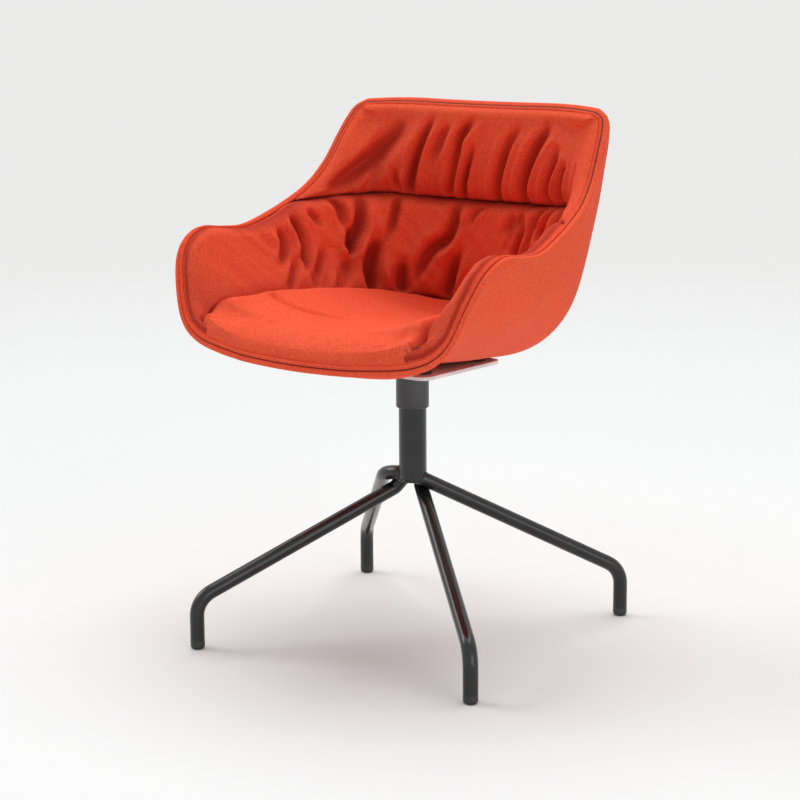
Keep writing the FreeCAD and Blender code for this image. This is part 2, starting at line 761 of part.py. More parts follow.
def upper_place(row, column):
    share = column * BACK_HALF
    start = seam(share) + SEAM_GAP
    return start + (BACK_END - BACK_END_DROP * column ** 4 - start) * row, share


def gathered(crown):
    """A pleated pad's thickness: every second column of the grid is drawn in."""
    return lambda row, j, column: swell(row, column, crown) - size("pleat_depth") * (j % 2)


shaped("seat_pad", cushion(30, 24, seat_place,
                           lambda row, j, column: swell(row, column, "seat_crown")))
for arm, arm_side in (("left", -1), ("right", 1)):
    shaped(arm + "_arm_pad", cushion(23, 8, arm_place(arm_side),
                                     lambda row, j, column: swell(row, column, "arm_crown")))
shaped("lower_back_pad", cushion(14, 32, lower_place, gathered("lower_back_crown")))
shaped("upper_back_pad", cushion(14, 30, upper_place, gathered("upper_back_crown")))


# Check every object, then write one file for each sub-part

def check():
    doc.recompute()
    faults = [obj.Label for obj in doc.Objects
              if {"Invalid", "Error"} & set(obj.State)]
    for obj in PARTS:
        if obj.Shape.isNull() or not obj.Shape.isValid() or obj.Shape.Volume <= 0:
            faults.append(obj.Label)
    if faults:
        raise RuntimeError("objects at fault: " + ", ".join(faults))
    if len(PARTS) > 60 or len({obj.Label for obj in PARTS}) != len(PARTS):
        raise RuntimeError("too many sub-parts, or two with one name")


def write():
    os.makedirs("parts", exist_ok=True)
    for obj in PARTS:
        obj.Shape.exportStep("parts/%s.step" % obj.Label)
        box = obj.Shape.BoundBox
        print("%-20s %2d solids  x %7.1f %7.1f  y %7.1f %7.1f  z %7.1f %7.1f" % (
            obj.Label, len(obj.Shape.Solids), box.XMin, box.XMax, box.YMin, box.YMax,
            box.ZMin, box.ZMax))


check()
write()
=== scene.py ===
import bpy
import json
import numpy as np
from math import cos, pi, radians, sin
from mathutils import Matrix, Vector

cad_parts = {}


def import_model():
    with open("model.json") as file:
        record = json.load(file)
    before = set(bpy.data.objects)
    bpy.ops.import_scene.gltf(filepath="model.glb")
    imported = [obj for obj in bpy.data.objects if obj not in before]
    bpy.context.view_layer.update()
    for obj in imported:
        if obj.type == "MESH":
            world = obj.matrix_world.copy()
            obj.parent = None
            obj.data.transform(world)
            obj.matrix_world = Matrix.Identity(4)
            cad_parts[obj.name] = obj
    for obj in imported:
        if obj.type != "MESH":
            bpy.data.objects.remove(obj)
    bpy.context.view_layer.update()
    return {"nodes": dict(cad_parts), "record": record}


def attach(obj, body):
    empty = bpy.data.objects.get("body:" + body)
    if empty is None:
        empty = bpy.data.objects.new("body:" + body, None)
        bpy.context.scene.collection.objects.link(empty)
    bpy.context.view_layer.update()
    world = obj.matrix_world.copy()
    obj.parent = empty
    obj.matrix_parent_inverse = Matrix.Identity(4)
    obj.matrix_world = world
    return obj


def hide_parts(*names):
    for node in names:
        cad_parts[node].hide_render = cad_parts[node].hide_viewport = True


# Swivel armchair, dressed: felt cover, gathered inside panels, piping, stitches, a weld bead,
# materials, floor, light and camera. Metres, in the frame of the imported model.

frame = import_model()


def smooth(rows, x):
    """Smooth curve through rows of values; x is 0 at the first row, 1 at the second."""
    rows = np.array(rows, float)
    x = np.asarray(x, float)
    last = len(rows) - 1
    i = np.clip(x.astype(int), 0, last - 1)
    f = (x - i)[..., None]
    a, b, c, d = (rows[np.clip(i + k, 0, last)] for k in (-1, 0, 1, 2))
    return (b + f * (c - a) / 2 + f * f * (a - 2.5 * b + 2 * c - d / 2)
            + f * f * f * (1.5 * (b - c) + (d - a) / 2))


# Bucket form: sections across the bucket, from the front edge (v = 0) under the seat and
# up the back (v = 14). share runs from -1 at the left rim to 1 at the right rim.
# Columns: rim width, rim reach, rim level, spine reach, spine level, wall lean, fullness.
# They repeat the part's source: points of the outline were read off the photograph,
# the sections were fitted to them, and the results were rounded and in part set one by one.
STATIONS = [
    (0.356, -0.981, 0.129, -1.000, 0.116, 6.1, 1.0),
    (0.681, -0.919, 0.189, -0.938, 0.114, 16, 1.0),
    (0.854, -0.874, 0.347, -0.876, 0.108, 38, 1.2),
    (0.946, -0.811, 0.674, -0.800, 0.084, 57, 0.8),
    (0.986, -0.730, 0.884, -0.637, 0.058, 68, 0.8),
    (1.000, -0.593, 1.000, -0.396, 0.037, 77, 1.1),
    (0.997, -0.426, 0.989, -0.125, 0.016, 82, 1.5),
    (0.980, -0.241, 0.989, 0.247, 0.000, 84.3, 2.0),
    (0.953, -0.019, 1.091, 0.675, -0.020, 85.5, 2.7),
    (0.922, 0.265, 1.257, 0.890, 0.225, 77, 2.5),
    (0.895, 0.442, 1.455, 0.965, 0.628, 76.5, 1.9),
    (0.871, 0.566, 1.684, 0.980, 1.050, 77.5, 2.4),
    (0.852, 0.646, 1.829, 0.942, 1.455, 77, 2.2),
    (0.822, 0.699, 1.925, 0.885, 1.802, 70, 2.0),
    (0.755, 0.735, 1.984, 0.792, 2.000, 20, 1.0),
]
LAST = len(STATIONS) - 1
HALF_WIDTH = 0.295
FRONT_REACH = 0.270
BACK_REACH = 0.226
# Height of level 0 under the seat, and how far level 1 at the arms and level 2 at the back's
# top lie over it
UNDER = 0.430
ARM_RISE = 0.190
BACK_RISE = 0.377
# Sections to each side over which the spine's direction is taken
SPINE_SPAN = 0.5


def reach(share):
    """Distance behind the swivel's axis: -1 is the front reach, 1 the back reach."""
    return share * np.where(share < 0, FRONT_REACH, BACK_REACH)


def level(share):
    """Height over the floor of a level."""
    return (UNDER + ARM_RISE * np.minimum(share, 1)
            + (BACK_RISE - ARM_RISE) * np.maximum(share - 1, 0))


def spine(v):
    """Reach and height of the bucket's middle line at section v."""
    row = smooth(STATIONS, v)
    return reach(row[..., 3]), level(row[..., 4])


def on_bucket(v, share, offset=0.0):
    """Points on the bucket, offset towards the sitter from its outer face. Each half of a
    section is two arcs that meet smoothly: a low one from the spine, a high one to the rim."""
    v, share, offset = np.broadcast_arrays(np.clip(v, 0, LAST), share, offset)
    row = smooth(STATIONS, v)
    wide, rim_reach, rim_level, spine_reach, spine_level, lean, full = np.moveaxis(row, -1, 0)
    y, z = reach(spine_reach), level(spine_level)
    side_y, side_z = reach(rim_reach) - y, level(rim_level) - z
    rise = np.hypot(side_y, side_z)
    x = wide * HALF_WIDTH
    lean = np.radians(lean)
    tx, tw = np.cos(lean), np.sin(lean)
    a = 2 * full * (1 - tx)
    b = 2 * (x * (full + tx) + rise * tw)
    second = (-b + np.sqrt(b * b + 4 * a * (x * x + rise * rise))) / (2 * a)
    first = full * second
    qx, qw = x - second * tx, rise - second * tw
    part = first / (first + second)
    turn = np.arctan2(qw, qx - first)
    join_x, join_w = first + (qx - first) * part, qw * part
    low_radius = first / np.tan(turn / 2)
    high_radius = second / np.tan((lean - turn) / 2)
    low_run = low_radius * turn
    run = np.abs(share) * (low_run + high_radius * (lean - turn))
    near = run <= low_run
    angle = np.where(near, run / low_radius, turn + (run - low_run) / high_radius)
    across = np.where(near, low_radius * np.sin(angle),
                      join_x + high_radius * (np.sin(angle) - np.sin(turn)))
    up = np.where(near, low_radius * (1 - np.cos(angle)),
                  join_w + high_radius * (np.cos(turn) - np.cos(angle)))
    side = np.where(share < 0, -1.0, 1.0)
    low_y, low_z = spine(np.maximum(v - SPINE_SPAN, 0))
    high_y, high_z = spine(np.minimum(v + SPINE_SPAN, LAST))
    span = np.hypot(high_y - low_y, high_z - low_z)
    return np.stack([
        side * (across - np.sin(angle) * offset),
        y + side_y / rise * up - np.cos(angle) * (high_z - low_z) / span * offset,
        z + side_z / rise * up + np.cos(angle) * (high_y - low_y) / span * offset], -1)


# Mesh helpers

# An odd direction to start a tube's section from, so that hardly any path follows it
ASIDE = (0.31, 0.22, 0.92)


def placed(name, data):
    """A new object of the scene."""
    obj = bpy.data.objects.new(name, data)
    bpy.context.scene.collection.objects.link(obj)
    return obj


def new_object(name, vertices, faces, material, body, slot):
    """A smooth shaded mesh that remembers its body and slot for settle()."""
    mesh = bpy.data.meshes.new(name)
    mesh.from_pydata([tuple(p) for p in vertices], [], faces)
    mesh.validate()
    mesh.update()
    mesh.polygons.foreach_set("use_smooth", [True] * len(mesh.polygons))
    mesh.materials.append(material)
    obj = placed(name, mesh)
    obj["body"] = body
    obj["slot"] = slot
    return obj


def settle(obj, *nodes):
    """The finished piece rides on its body and stands for its nodes."""
    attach(obj, obj["body"])
    if nodes:
        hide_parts(*nodes)


def grid_faces(rows, columns, start=0, flip=False, ring_rows=False, ring_columns=False):
    """Quads over a grid of vertices that are numbered from start."""
    faces = []
    for i in range(rows if ring_rows else rows - 1):
        for j in range(columns if ring_columns else columns - 1):
            i2, j2 = (i + 1) % rows, (j + 1) % columns
            face = [start + i * columns + j, start + i * columns + j2,
                    start + i2 * columns + j2, start + i2 * columns + j]
            faces.append(face[::-1] if flip else face)
    return faces


def edge_ring(rows, columns):
    """The grid's border, once round, as row and column numbers."""
    border = [(0, j) for j in range(columns)] + [(i, columns - 1) for i in range(1, rows)]
    border += [(rows - 1, j) for j in range(columns - 2, -1, -1)]
    return border + [(i, 0) for i in range(rows - 2, 0, -1)]


def closed_sheet(name, front, back):
    """A closed piece of felt between two grids of points that have the same rows and columns."""
    rows, columns = front.shape[:2]
    count = rows * columns
    faces = grid_faces(rows, columns) + grid_faces(rows, columns, count, flip=True)
    border = [i * columns + j for i, j in edge_ring(rows, columns)]
    for here, ahead in zip(border, border[1:] + border[:1]):
        faces.append([ahead, here, here + count, ahead + count])
    vertices = np.concatenate([front, back]).reshape(-1, 3)
    return new_object(name, vertices, faces, WOOL, "seat", "wool_felt")


def ring_tube(name, path, radius, material, body, slot, sides=12):
    """A tube round a closed line; radius is one number or one for each point."""
    ahead = np.roll(path, -1, 0) - np.roll(path, 1, 0)
    ahead /= np.linalg.norm(ahead, axis=1, keepdims=True)
    side = np.cross(ahead[0], ASIDE)
    side /= np.linalg.norm(side)
    turns = np.linspace(0, 2 * pi, sides, endpoint=False)
    radius = np.broadcast_to(radius, len(path))
    vertices = []
    for point, forward, r in zip(path, ahead, radius):
        side = side - forward * (side @ forward)
        side /= np.linalg.norm(side)
        other = np.cross(forward, side)
        vertices += [point + r * (side * cos(t) + other * sin(t)) for t in turns]
    faces = grid_faces(len(path), sides, ring_rows=True, ring_columns=True)
    return new_object(name, vertices, faces, material, body, slot)


def subdivide(obj):
    """One level of subdivision, in the viewport and in the render."""
    modifier = obj.modifiers.new("fine", "SUBSURF")
    modifier.levels = 1
    modifier.render_levels = 1
    return obj


# Materials

# Socket numbers of a mix node's two colours and of its colour result
MIX_FIRST = 6
MIX_SECOND = 7
MIX_RESULT = 2


def tune(made, values):
    """Set a node's inputs, each by its name."""
    for name, value in values.items():
        made.inputs[name].default_value = value


def shader(name, color, roughness, metallic=0.0):
    """A new material and its principled node."""
    material = bpy.data.materials.new(name)
    material.use_nodes = True
    principled = material.node_tree.nodes["Principled BSDF"]
    tune(principled, {"Base Color": (*color, 1), "Roughness": roughness, "Metallic": metallic})
    return material, principled


def link(material, a, b):
    material.node_tree.links.new(a, b)


def node(material, kind, **values):
    """A new shader node; values go to its inputs, or else to its own settings."""
    made = material.node_tree.nodes.new(kind)
    for key, value in values.items():
        if key in made.inputs:
            made.inputs[key].default_value = value
        else:
            setattr(made, key, value)
    return made


def noise(material, scale, detail=2.0, roughness=0.5, stretch=None):
    """Noise in object space, stretched where stretch gives three factors."""
    texture = node(material, "ShaderNodeTexNoise", Scale=scale, Detail=detail,
                   Roughness=roughness)
    place = node(material, "ShaderNodeTexCoord").outputs["Object"]
    if stretch:
        mapping = node(material, "ShaderNodeMapping", Scale=stretch)
        link(material, place, mapping.inputs["Vector"])
        place = mapping.outputs["Vector"]
    link(material, place, texture.inputs["Vector"])
    return texture.outputs["Fac"]


def ramp(material, source, stops):
    """Colours over a value; stops holds (position, colour)."""
    made = node(material, "ShaderNodeValToRGB")
    elements = made.color_ramp.elements
    while len(elements) < len(stops):
        elements.new(0.5)
    for element, (position, color) in zip(elements, stops):
        element.position = position
        element.color = (*color, 1)
    link(material, source, made.inputs["Fac"])
    return made.outputs["Color"]


def mix(material, factor, a, b):
    """Colour a where the factor is 0 and b where it is 1."""
    made = node(material, "ShaderNodeMix", data_type="RGBA")
    if isinstance(factor, float):
        made.inputs["Factor"].default_value = factor
    else:
        link(material, factor, made.inputs["Factor"])
    link(material, a, made.inputs[MIX_FIRST])
    link(material, b, made.inputs[MIX_SECOND])
    return made.outputs[MIX_RESULT]


def bump(material, principled, heights, strength, distance):
    """One bump from several (source, weight) pairs."""
    total = None
    for source, weight in heights:
        scaled = node(material, "ShaderNodeMath", operation="MULTIPLY")
        link(material, source, scaled.inputs[0])
        scaled.inputs[1].default_value = weight
        if total is None:
            total = scaled.outputs[0]
        else:
            added = node(material, "ShaderNodeMath", operation="ADD")
            link(material, total, added.inputs[0])
            link(material, scaled.outputs[0], added.inputs[1])
            total = added.outputs[0]
    made = node(material, "ShaderNodeBump", Strength=strength, Distance=distance)
    link(material, total, made.inputs["Height"])
    link(material, made.outputs["Normal"], principled.inputs["Normal"])


def felt(name, light, middle, dark, deep):
    """Milled wool: fine melange of three tones, soft fibres and a little sheen. The shade
    attribute, where a piece has one, mixes in the deep colour, a deeper red, as painted
    shade at the bottom of its folds and beside its seams."""
    material, principled = shader(name, middle, roughness=0.93)
    fibre = noise(material, 800, detail=3, roughness=0.7)
    cloud = noise(material, 300, detail=3, roughness=0.65)
    broad = noise(material, 14, detail=2)
    tones = ramp(material, fibre, [(0.34, dark), (0.5, middle), (0.66, light)])
    patches = ramp(material, cloud, [(0.36, dark), (0.52, middle), (0.68, light)])
    mottled = mix(material, 0.5, tones, patches)
    calm = ramp(material, broad, [(0.3, middle), (0.7, light)])
    # Painted shade: the deep colour takes the place of the felt's own as far as the shade
    # attribute goes
    shade = node(material, "ShaderNodeAttribute", attribute_name="shade")
    depth = node(material, "ShaderNodeRGB")
    depth.outputs[0].default_value = (*deep, 1)
    surface = mix(material, 0.15, mottled, calm)
    link(material, mix(material, shade.outputs["Fac"], surface, depth.outputs[0]),
         principled.inputs["Base Color"])
    bump(material, principled, [(fibre, 0.6), (cloud, 1.0)], strength=0.45, distance=0.0008)
    tune(principled, {"Sheen Weight": 0.10, "Sheen Roughness": 0.5,
                      "Sheen Tint": (1.0, 0.35, 0.22, 1), "Specular IOR Level": 0.15})
    return material


def painted(name, color, roughness, coat, grain):
    """Powder coat: fine orange peel under a thin clear layer, with faint wear."""
    material, principled = shader(name, color, roughness)
    peel = noise(material, 900, detail=2)
    haze = noise(material, 22, detail=3)
    paler = tuple(min(1.0, c * 1.5 + 0.004) for c in color)
    link(material, ramp(material, haze, [(0.4, color), (0.75, paler)]),
         principled.inputs["Base Color"])
    gloss = node(material, "ShaderNodeMapRange")
    tune(gloss, {"To Min": roughness * 0.8, "To Max": roughness * 1.25})
    link(material, haze, gloss.inputs["Value"])
    link(material, gloss.outputs["Result"], principled.inputs["Roughness"])
    bump(material, principled, [(peel, 1.0)], grain, distance=0.0002)
    tune(principled, {"Coat Weight": coat, "Coat Roughness": 0.12, "Specular IOR Level": 0.40})
    return material


def plain(name, color, roughness, grain_scale, grain, metallic=0.0, stretch=None):
    """Moulded plastic, rubber or bare steel with a fine grain."""
    material, principled = shader(name, color, roughness, metallic)
    grain_source = noise(material, grain_scale, detail=3, stretch=stretch)
    darker = tuple(c * 0.82 for c in color)
    link(material, ramp(material, grain_source, [(0.35, darker), (0.65, color)]),
         principled.inputs["Base Color"])
    bump(material, principled, [(grain_source, 1.0)], grain, distance=0.0003)
    return material


# felt takes three tones from light to dark, then the deep colour of its painted shade; painted
# a colour, roughness, coat and grain; plain a colour, roughness, its grain's scale and strength,
# metallic and stretch
WOOL = felt("wool_felt_red", (1.0, 0.160, 0.068), (0.92, 0.100, 0.042), (0.66, 0.050, 0.021),
            (0.35, 0.013, 0.008))
PIPING = felt("wool_felt_piping", (0.96, 0.142, 0.060), (0.84, 0.086, 0.036),
              (0.58, 0.044, 0.020), (0.46, 0.022, 0.011))
THREAD = plain("red_thread", (0.28, 0.022, 0.013), 0.7, 2500, 0.5)
BLACK = painted("black_powder_coat_gloss", (0.010, 0.010, 0.011), 0.22, 0.15, 0.05)
GREY = painted("grey_powder_coat_satin", (0.048, 0.048, 0.050), 0.42, 0.0, 0.12)
PLATE = painted("plate_paint_light", (0.70, 0.70, 0.69), 0.40, 0.0, 0.08)
STEEL = plain("bare_steel_turned", (0.52, 0.52, 0.53), 0.34, 400, 0.1, 1.0, (1, 1, 14))
BEARING = plain("bearing_plastic_white", (0.72, 0.71, 0.68), 0.45, 300, 0.1)
GLIDE = plain("glide_plastic_dark", (0.030, 0.030, 0.031), 0.42, 700, 0.22)
RUBBER = plain("spacer_rubber_black", (0.028, 0.028, 0.028), 0.75, 600, 0.25)
SHELL = plain("shell_plastic_dark", (0.10, 0.030, 0.024), 0.8, 300, 0.3)

MATERIALS = {
    "black_powder_coat": BLACK, "grey_powder_coat": GREY, "plate_paint": PLATE,
    "bare_steel": STEEL, "bearing_plastic": BEARING, "glide_plastic": GLIDE,
    "spacer_rubber": RUBBER, "shell_plastic": SHELL, "wool_felt": WOOL,
}
for part in frame["record"]["subparts"]:
    cad = frame["nodes"][part["node"]]
    finish = MATERIALS[part["material_slot"]]
    if not cad.material_slots:
        cad.data.materials.append(finish)
    for place in cad.material_slots:
        place.material = finish


# Layers, as offsets from the bucket's outer face
WALL = 0.014
COVER_BACK = 0.0028
PANEL_BACK = 0.0156
# Band and piping: width or place across the wall, and how far they rise over the rim
BAND_WIDTH = 0.0086
BAND_RISE = 0.0031
PIPING_PLACE = 0.0128
PIPING_RADIUS = 0.0029
PIPING_RISE = 0.0006
# Grid of the cover: steps across it, and sections from row to row
SHARE_STEPS = 72
EDGE_PITCH = 0.125
# Fuller stretch under the bucket: swell, then its middle and spread in v and in share
UNDER_BULGE = 0.0090
UNDER_V = 7.1
UNDER_V_SPREAD = 1.3
UNDER_SHARE = 0.28
UNDER_SHARE_SPREAD = 0.2
# The rim thins from the arms to the back: where that starts, over how many sections it
# goes on, the share of its height that the band loses, and how far the piping sinks
BACK_START = 8.0
BACK_STRETCH = 2.5
BACK_BAND_LOSS = 0.5
BACK_PIPING_SINK = 0.0024
# The band: places across its top, its squareness, and how it tucks in behind the piping
BAND_PLACES = 13
BAND_SQUARENESS = 0.8
BAND_TUCKS = (0.0, -0.004, -0.010)
# The cover's inner face stops short of the rim, so that it stays inside the wall
INNER_SHARE = 0.965
INNER_END_SHARE = 0.93
INNER_END_INSET = 0.15


def steps(start, end, count):
    """Even steps, both ends included."""
    return np.linspace(start, end, count)


# Outer cover: one felt skin that rolls over the rim, closed against the wall

def rim_line():
    """Section number and share at each place round the rim, once round."""
    across = steps(0, 1, SHARE_STEPS // 2 + 1)
    up = steps(0, LAST, int(LAST / EDGE_PITCH) + 1)[1:-1]
    v = np.concatenate([0 * across, up, LAST + 0 * across])
    share = np.concatenate([across, np.ones(len(up)), across[::-1]])
    return np.concatenate([v, v[-2:0:-1]]), np.concatenate([share, -share[-2:0:-1]])


def rim_frame():
    """Outer edge, inner edge and outward direction at each place round the rim, and how
    much of it belongs to the back."""
    v, share = rim_line()
    outer, inner = on_bucket(v, share, 0.0), on_bucket(v, share, WALL)
    ahead = np.roll(outer, -1, 0) - np.roll(outer, 1, 0)
    # The direction turns softly round the rim's corners
    for _ in range(3):
        ahead = (np.roll(ahead, 1, 0) + 2 * ahead + np.roll(ahead, -1, 0)) / 4
    out = np.cross(ahead, inner - outer)
    out /= np.linalg.norm(out, axis=1, keepdims=True)
    return outer, inner, out, np.clip((v - BACK_START) / BACK_STRETCH, 0, 1)[:, None]


def outer_cover():
    """Outer face, band over the rim and inner face, closed into one piece."""
    v = steps(0, LAST, int(LAST / EDGE_PITCH) + 1)[:, None]
    share = steps(-1, 1, SHARE_STEPS + 1)[None, :]
    fuller = UNDER_BULGE * np.exp(-((v - UNDER_V) / UNDER_V_SPREAD) ** 2
                                  - ((np.abs(share) - UNDER_SHARE) / UNDER_SHARE_SPREAD) ** 2)
    face = on_bucket(v, share, -fuller)
    rows, columns = face.shape[:2]
    vertices = [face.reshape(-1, 3)]
    faces = grid_faces(rows, columns, flip=True)
    number = {place: place[0] * columns + place[1] for place in edge_ring(rows, columns)}
    outer, inner, out, back = rim_frame()
    rim_v, rim_share = rim_line()
    ring = [number[(round(a / EDGE_PITCH), round((b + 1) * SHARE_STEPS / 2))]
            for a, b in zip(rim_v, rim_share)]
    count = rows * columns
    last = ring
    turns = steps(0, pi, BAND_PLACES)[1:]
    profile = [((1 - cos(t)) / 2, sin(t) ** BAND_SQUARENESS, 0.0) for t in turns[:-1]]
    profile += [(1.0, 0.0, tuck) for tuck in BAND_TUCKS]
    for along, rise, drop in profile:
        loop = (outer + (inner - outer) * along * BAND_WIDTH / WALL
                + out * (BAND_RISE * (1 - BACK_BAND_LOSS * back) * rise + drop))
        vertices.append(loop)
        these = list(range(count, count + len(loop)))
        count += len(loop)
        faces += strip(last, these)
        last = these
    inside = on_bucket(v, share * INNER_SHARE, COVER_BACK)
    end_share = share[0] * INNER_END_SHARE
    inside[0] = on_bucket(INNER_END_INSET, end_share, COVER_BACK)
    inside[-1] = on_bucket(LAST - INNER_END_INSET, end_share, COVER_BACK)
    vertices.append(inside.reshape(-1, 3))
    faces += grid_faces(rows, columns, count)
    inner_ring = [count + k for k in ring]
    faces += strip(last, inner_ring)
    return new_object("outer_cover_felt", np.concatenate(vertices), faces, WOOL, "seat",
                      "wool_felt")


def strip(low, high):
    """Quads between two rings of vertex numbers."""
    return [[low[k], low[(k + 1) % len(low)], high[(k + 1) % len(low)], high[k]]
            for k in range(len(low))]


def piping():
    """The cord that runs once round the rim, between the band and the inside panels."""
    outer, inner, out, back = rim_frame()
    across = (inner - outer) / np.linalg.norm(inner - outer, axis=1, keepdims=True)
    path = outer + across * PIPING_PLACE + out * (PIPING_RISE - BACK_PIPING_SINK * back)
    return ring_tube("rim_piping_cord", path, PIPING_RADIUS, PIPING, "seat", "wool_felt",
                     sides=16)


cover = subdivide(outer_cover())
cord = subdivide(piping())
settle(cover, "outer_cover", "rim_band")
settle(cord, "rim_piping")


# Inside panels: height over the bucket's outer face, rolled down at each edge

def run(points, axis):
    """Distance along a grid's lines, from 0 at their first point."""
    gaps = np.linalg.norm(np.diff(points, axis=axis), axis=-1)
    return np.insert(np.cumsum(gaps, axis=axis), 0, 0, axis=axis)


def rolled(distance, radius):
    """0 at an edge, rising round a quarter circle to 1."""
    x = np.clip(distance / radius, 0, 1)
    return np.sqrt(1 - (1 - x) ** 2)


def eased(x):
    """0 to 1 with soft ends."""
    x = np.clip(x, 0, 1)
    return x * x * (3 - 2 * x)


# Wave lengths of a ripple, as shares of its pitch, and what brings their sum to about 1
WAVE_FACTORS = (0.74, 1.0, 1.37, 2.1)
WAVE_SUM = 2.4


def ripple(along, pitch, seed):
    """Uneven waves along an edge, about -1 to 1."""
    rng = np.random.default_rng(seed)
    waves = [np.sin(2 * pi * along / (pitch * factor) + rng.uniform(0, 2 * pi))
             for factor in WAVE_FACTORS]
    return sum(waves) / WAVE_SUM


def gathers(along, distance, size, pitch, fade, seed):
    """Uneven waves of a size along an edge, dying out with the distance from it."""
    return size * ripple(along, pitch, seed) * np.exp(-distance / fade)


# A fold's section: one step of its depth, how sharp its valley is, and the ridge beside it
# (height, place and spread, the last two in widths of the fold)
FOLD_STEP = 0.0041
FOLD_SHARPNESS = 1.2
RIDGE_HEIGHT = 0.42
RIDGE_PLACE = 2.0
RIDGE_SPREAD = 0.9
# Samples for each point of a fold's line, and the least length squared of a piece of it
FOLD_SAMPLES = 12
LEAST_SQUARE = 1e-12
# Offset at which distances on the pads are measured, for the panels and for the seat
PANEL_LEVEL = 0.036
SEAT_LEVEL = 0.020


def relief(points, folds, depth_at):
    """Height of the folds over a grid. Each fold is a width in millimetres and a line of
    (share, v, depth), with the depth in steps of FOLD_STEP before the softening."""
    total = np.zeros(points.shape[:-1])
    for width, line in folds:
        t = steps(0, len(line) - 1, FOLD_SAMPLES * len(line))
        share, v, depth = smooth(line, t).T
        path = on_bucket(v, share, depth_at)
        gap = np.linalg.norm(points[..., None, :] - path, axis=-1)
        near = gap.argmin(-1)
        least, deep = gap.min(-1), depth[near]
        for ahead in (-1, 1):
            other = np.clip(near + ahead, 0, len(path) - 1)
            leg = path[other] - path[near]
            long = np.maximum((leg * leg).sum(-1), LEAST_SQUARE)
            part = np.clip(((points - path[near]) * leg).sum(-1) / long, 0, 1)
            here = np.linalg.norm(points - path[near] - part[..., None] * leg, axis=-1)
            closer = here < least
            deep = np.where(closer, depth[near] + part * (depth[other] - depth[near]), deep)
            least = np.where(closer, here, least)
        x = least / (width / 1000)
        valley = -np.exp(-x ** FOLD_SHARPNESS)
        ridge = RIDGE_HEIGHT * np.exp(-((x - RIDGE_PLACE) / RIDGE_SPREAD) ** 2)
        total += (valley + ridge) * np.clip(deep, 0, None) * FOLD_STEP
    # Soften the steps where the nearest place on a line jumps. np.roll goes round, so a
    # pad's first and last lines take a little from each other too.
    for axis in (0, 1, 0, 1):
        low, high = np.roll(total, 1, axis), np.roll(total, -1, axis)
        total = (low + 2 * total + high) / 4
    return total


# The lines and folds below began as places read off the photograph. They were turned
# into shares and section numbers with the fitted camera and rounded. Widths, depths, the
# folds on the hidden side and those of the seat's front were chosen.

# Crease round the seat pad: share and v from the front corner to the middle of the back
CREASE = [(0.996, 0.9), (0.97, 1.3), (0.86, 1.9), (0.78, 2.5), (0.67, 3.34), (0.61, 3.94),
          (0.57, 4.75), (0.555, 5.45), (0.535, 6.2), (0.49, 7.0), (0.43, 7.95), (0.31, 8.70),
          (0.14, 9.02), (0.0, 9.10)]
# Where the lower panel ends: the arm's rim, then the seam across the back
OUTER = [(1.0, 0.92), (1.0, 1.5), (1.0, 2.3), (1.0, 3.1), (1.0, 4.0), (1.0, 4.9),
         (1.0, 5.9), (1.0, 6.9), (1.0, 7.75), (0.99, 8.50), (0.84, 9.80), (0.60, 10.76),
         (0.25, 11.23), (0.0, 11.3)]
# The seam across the back: share and v from the middle to the rim
SEAM = [(0, 11.30), (0.15, 11.28), (0.25, 11.23), (0.40, 11.08), (0.60, 10.76),
        (0.72, 10.40), (0.84, 9.80), (0.92, 9.20), (1.0, 8.42)]
SEAM_GAP = 0.01


def seam_level(share):
    """v of the seam across the back."""
    return np.interp(np.abs(share), *zip(*SEAM))


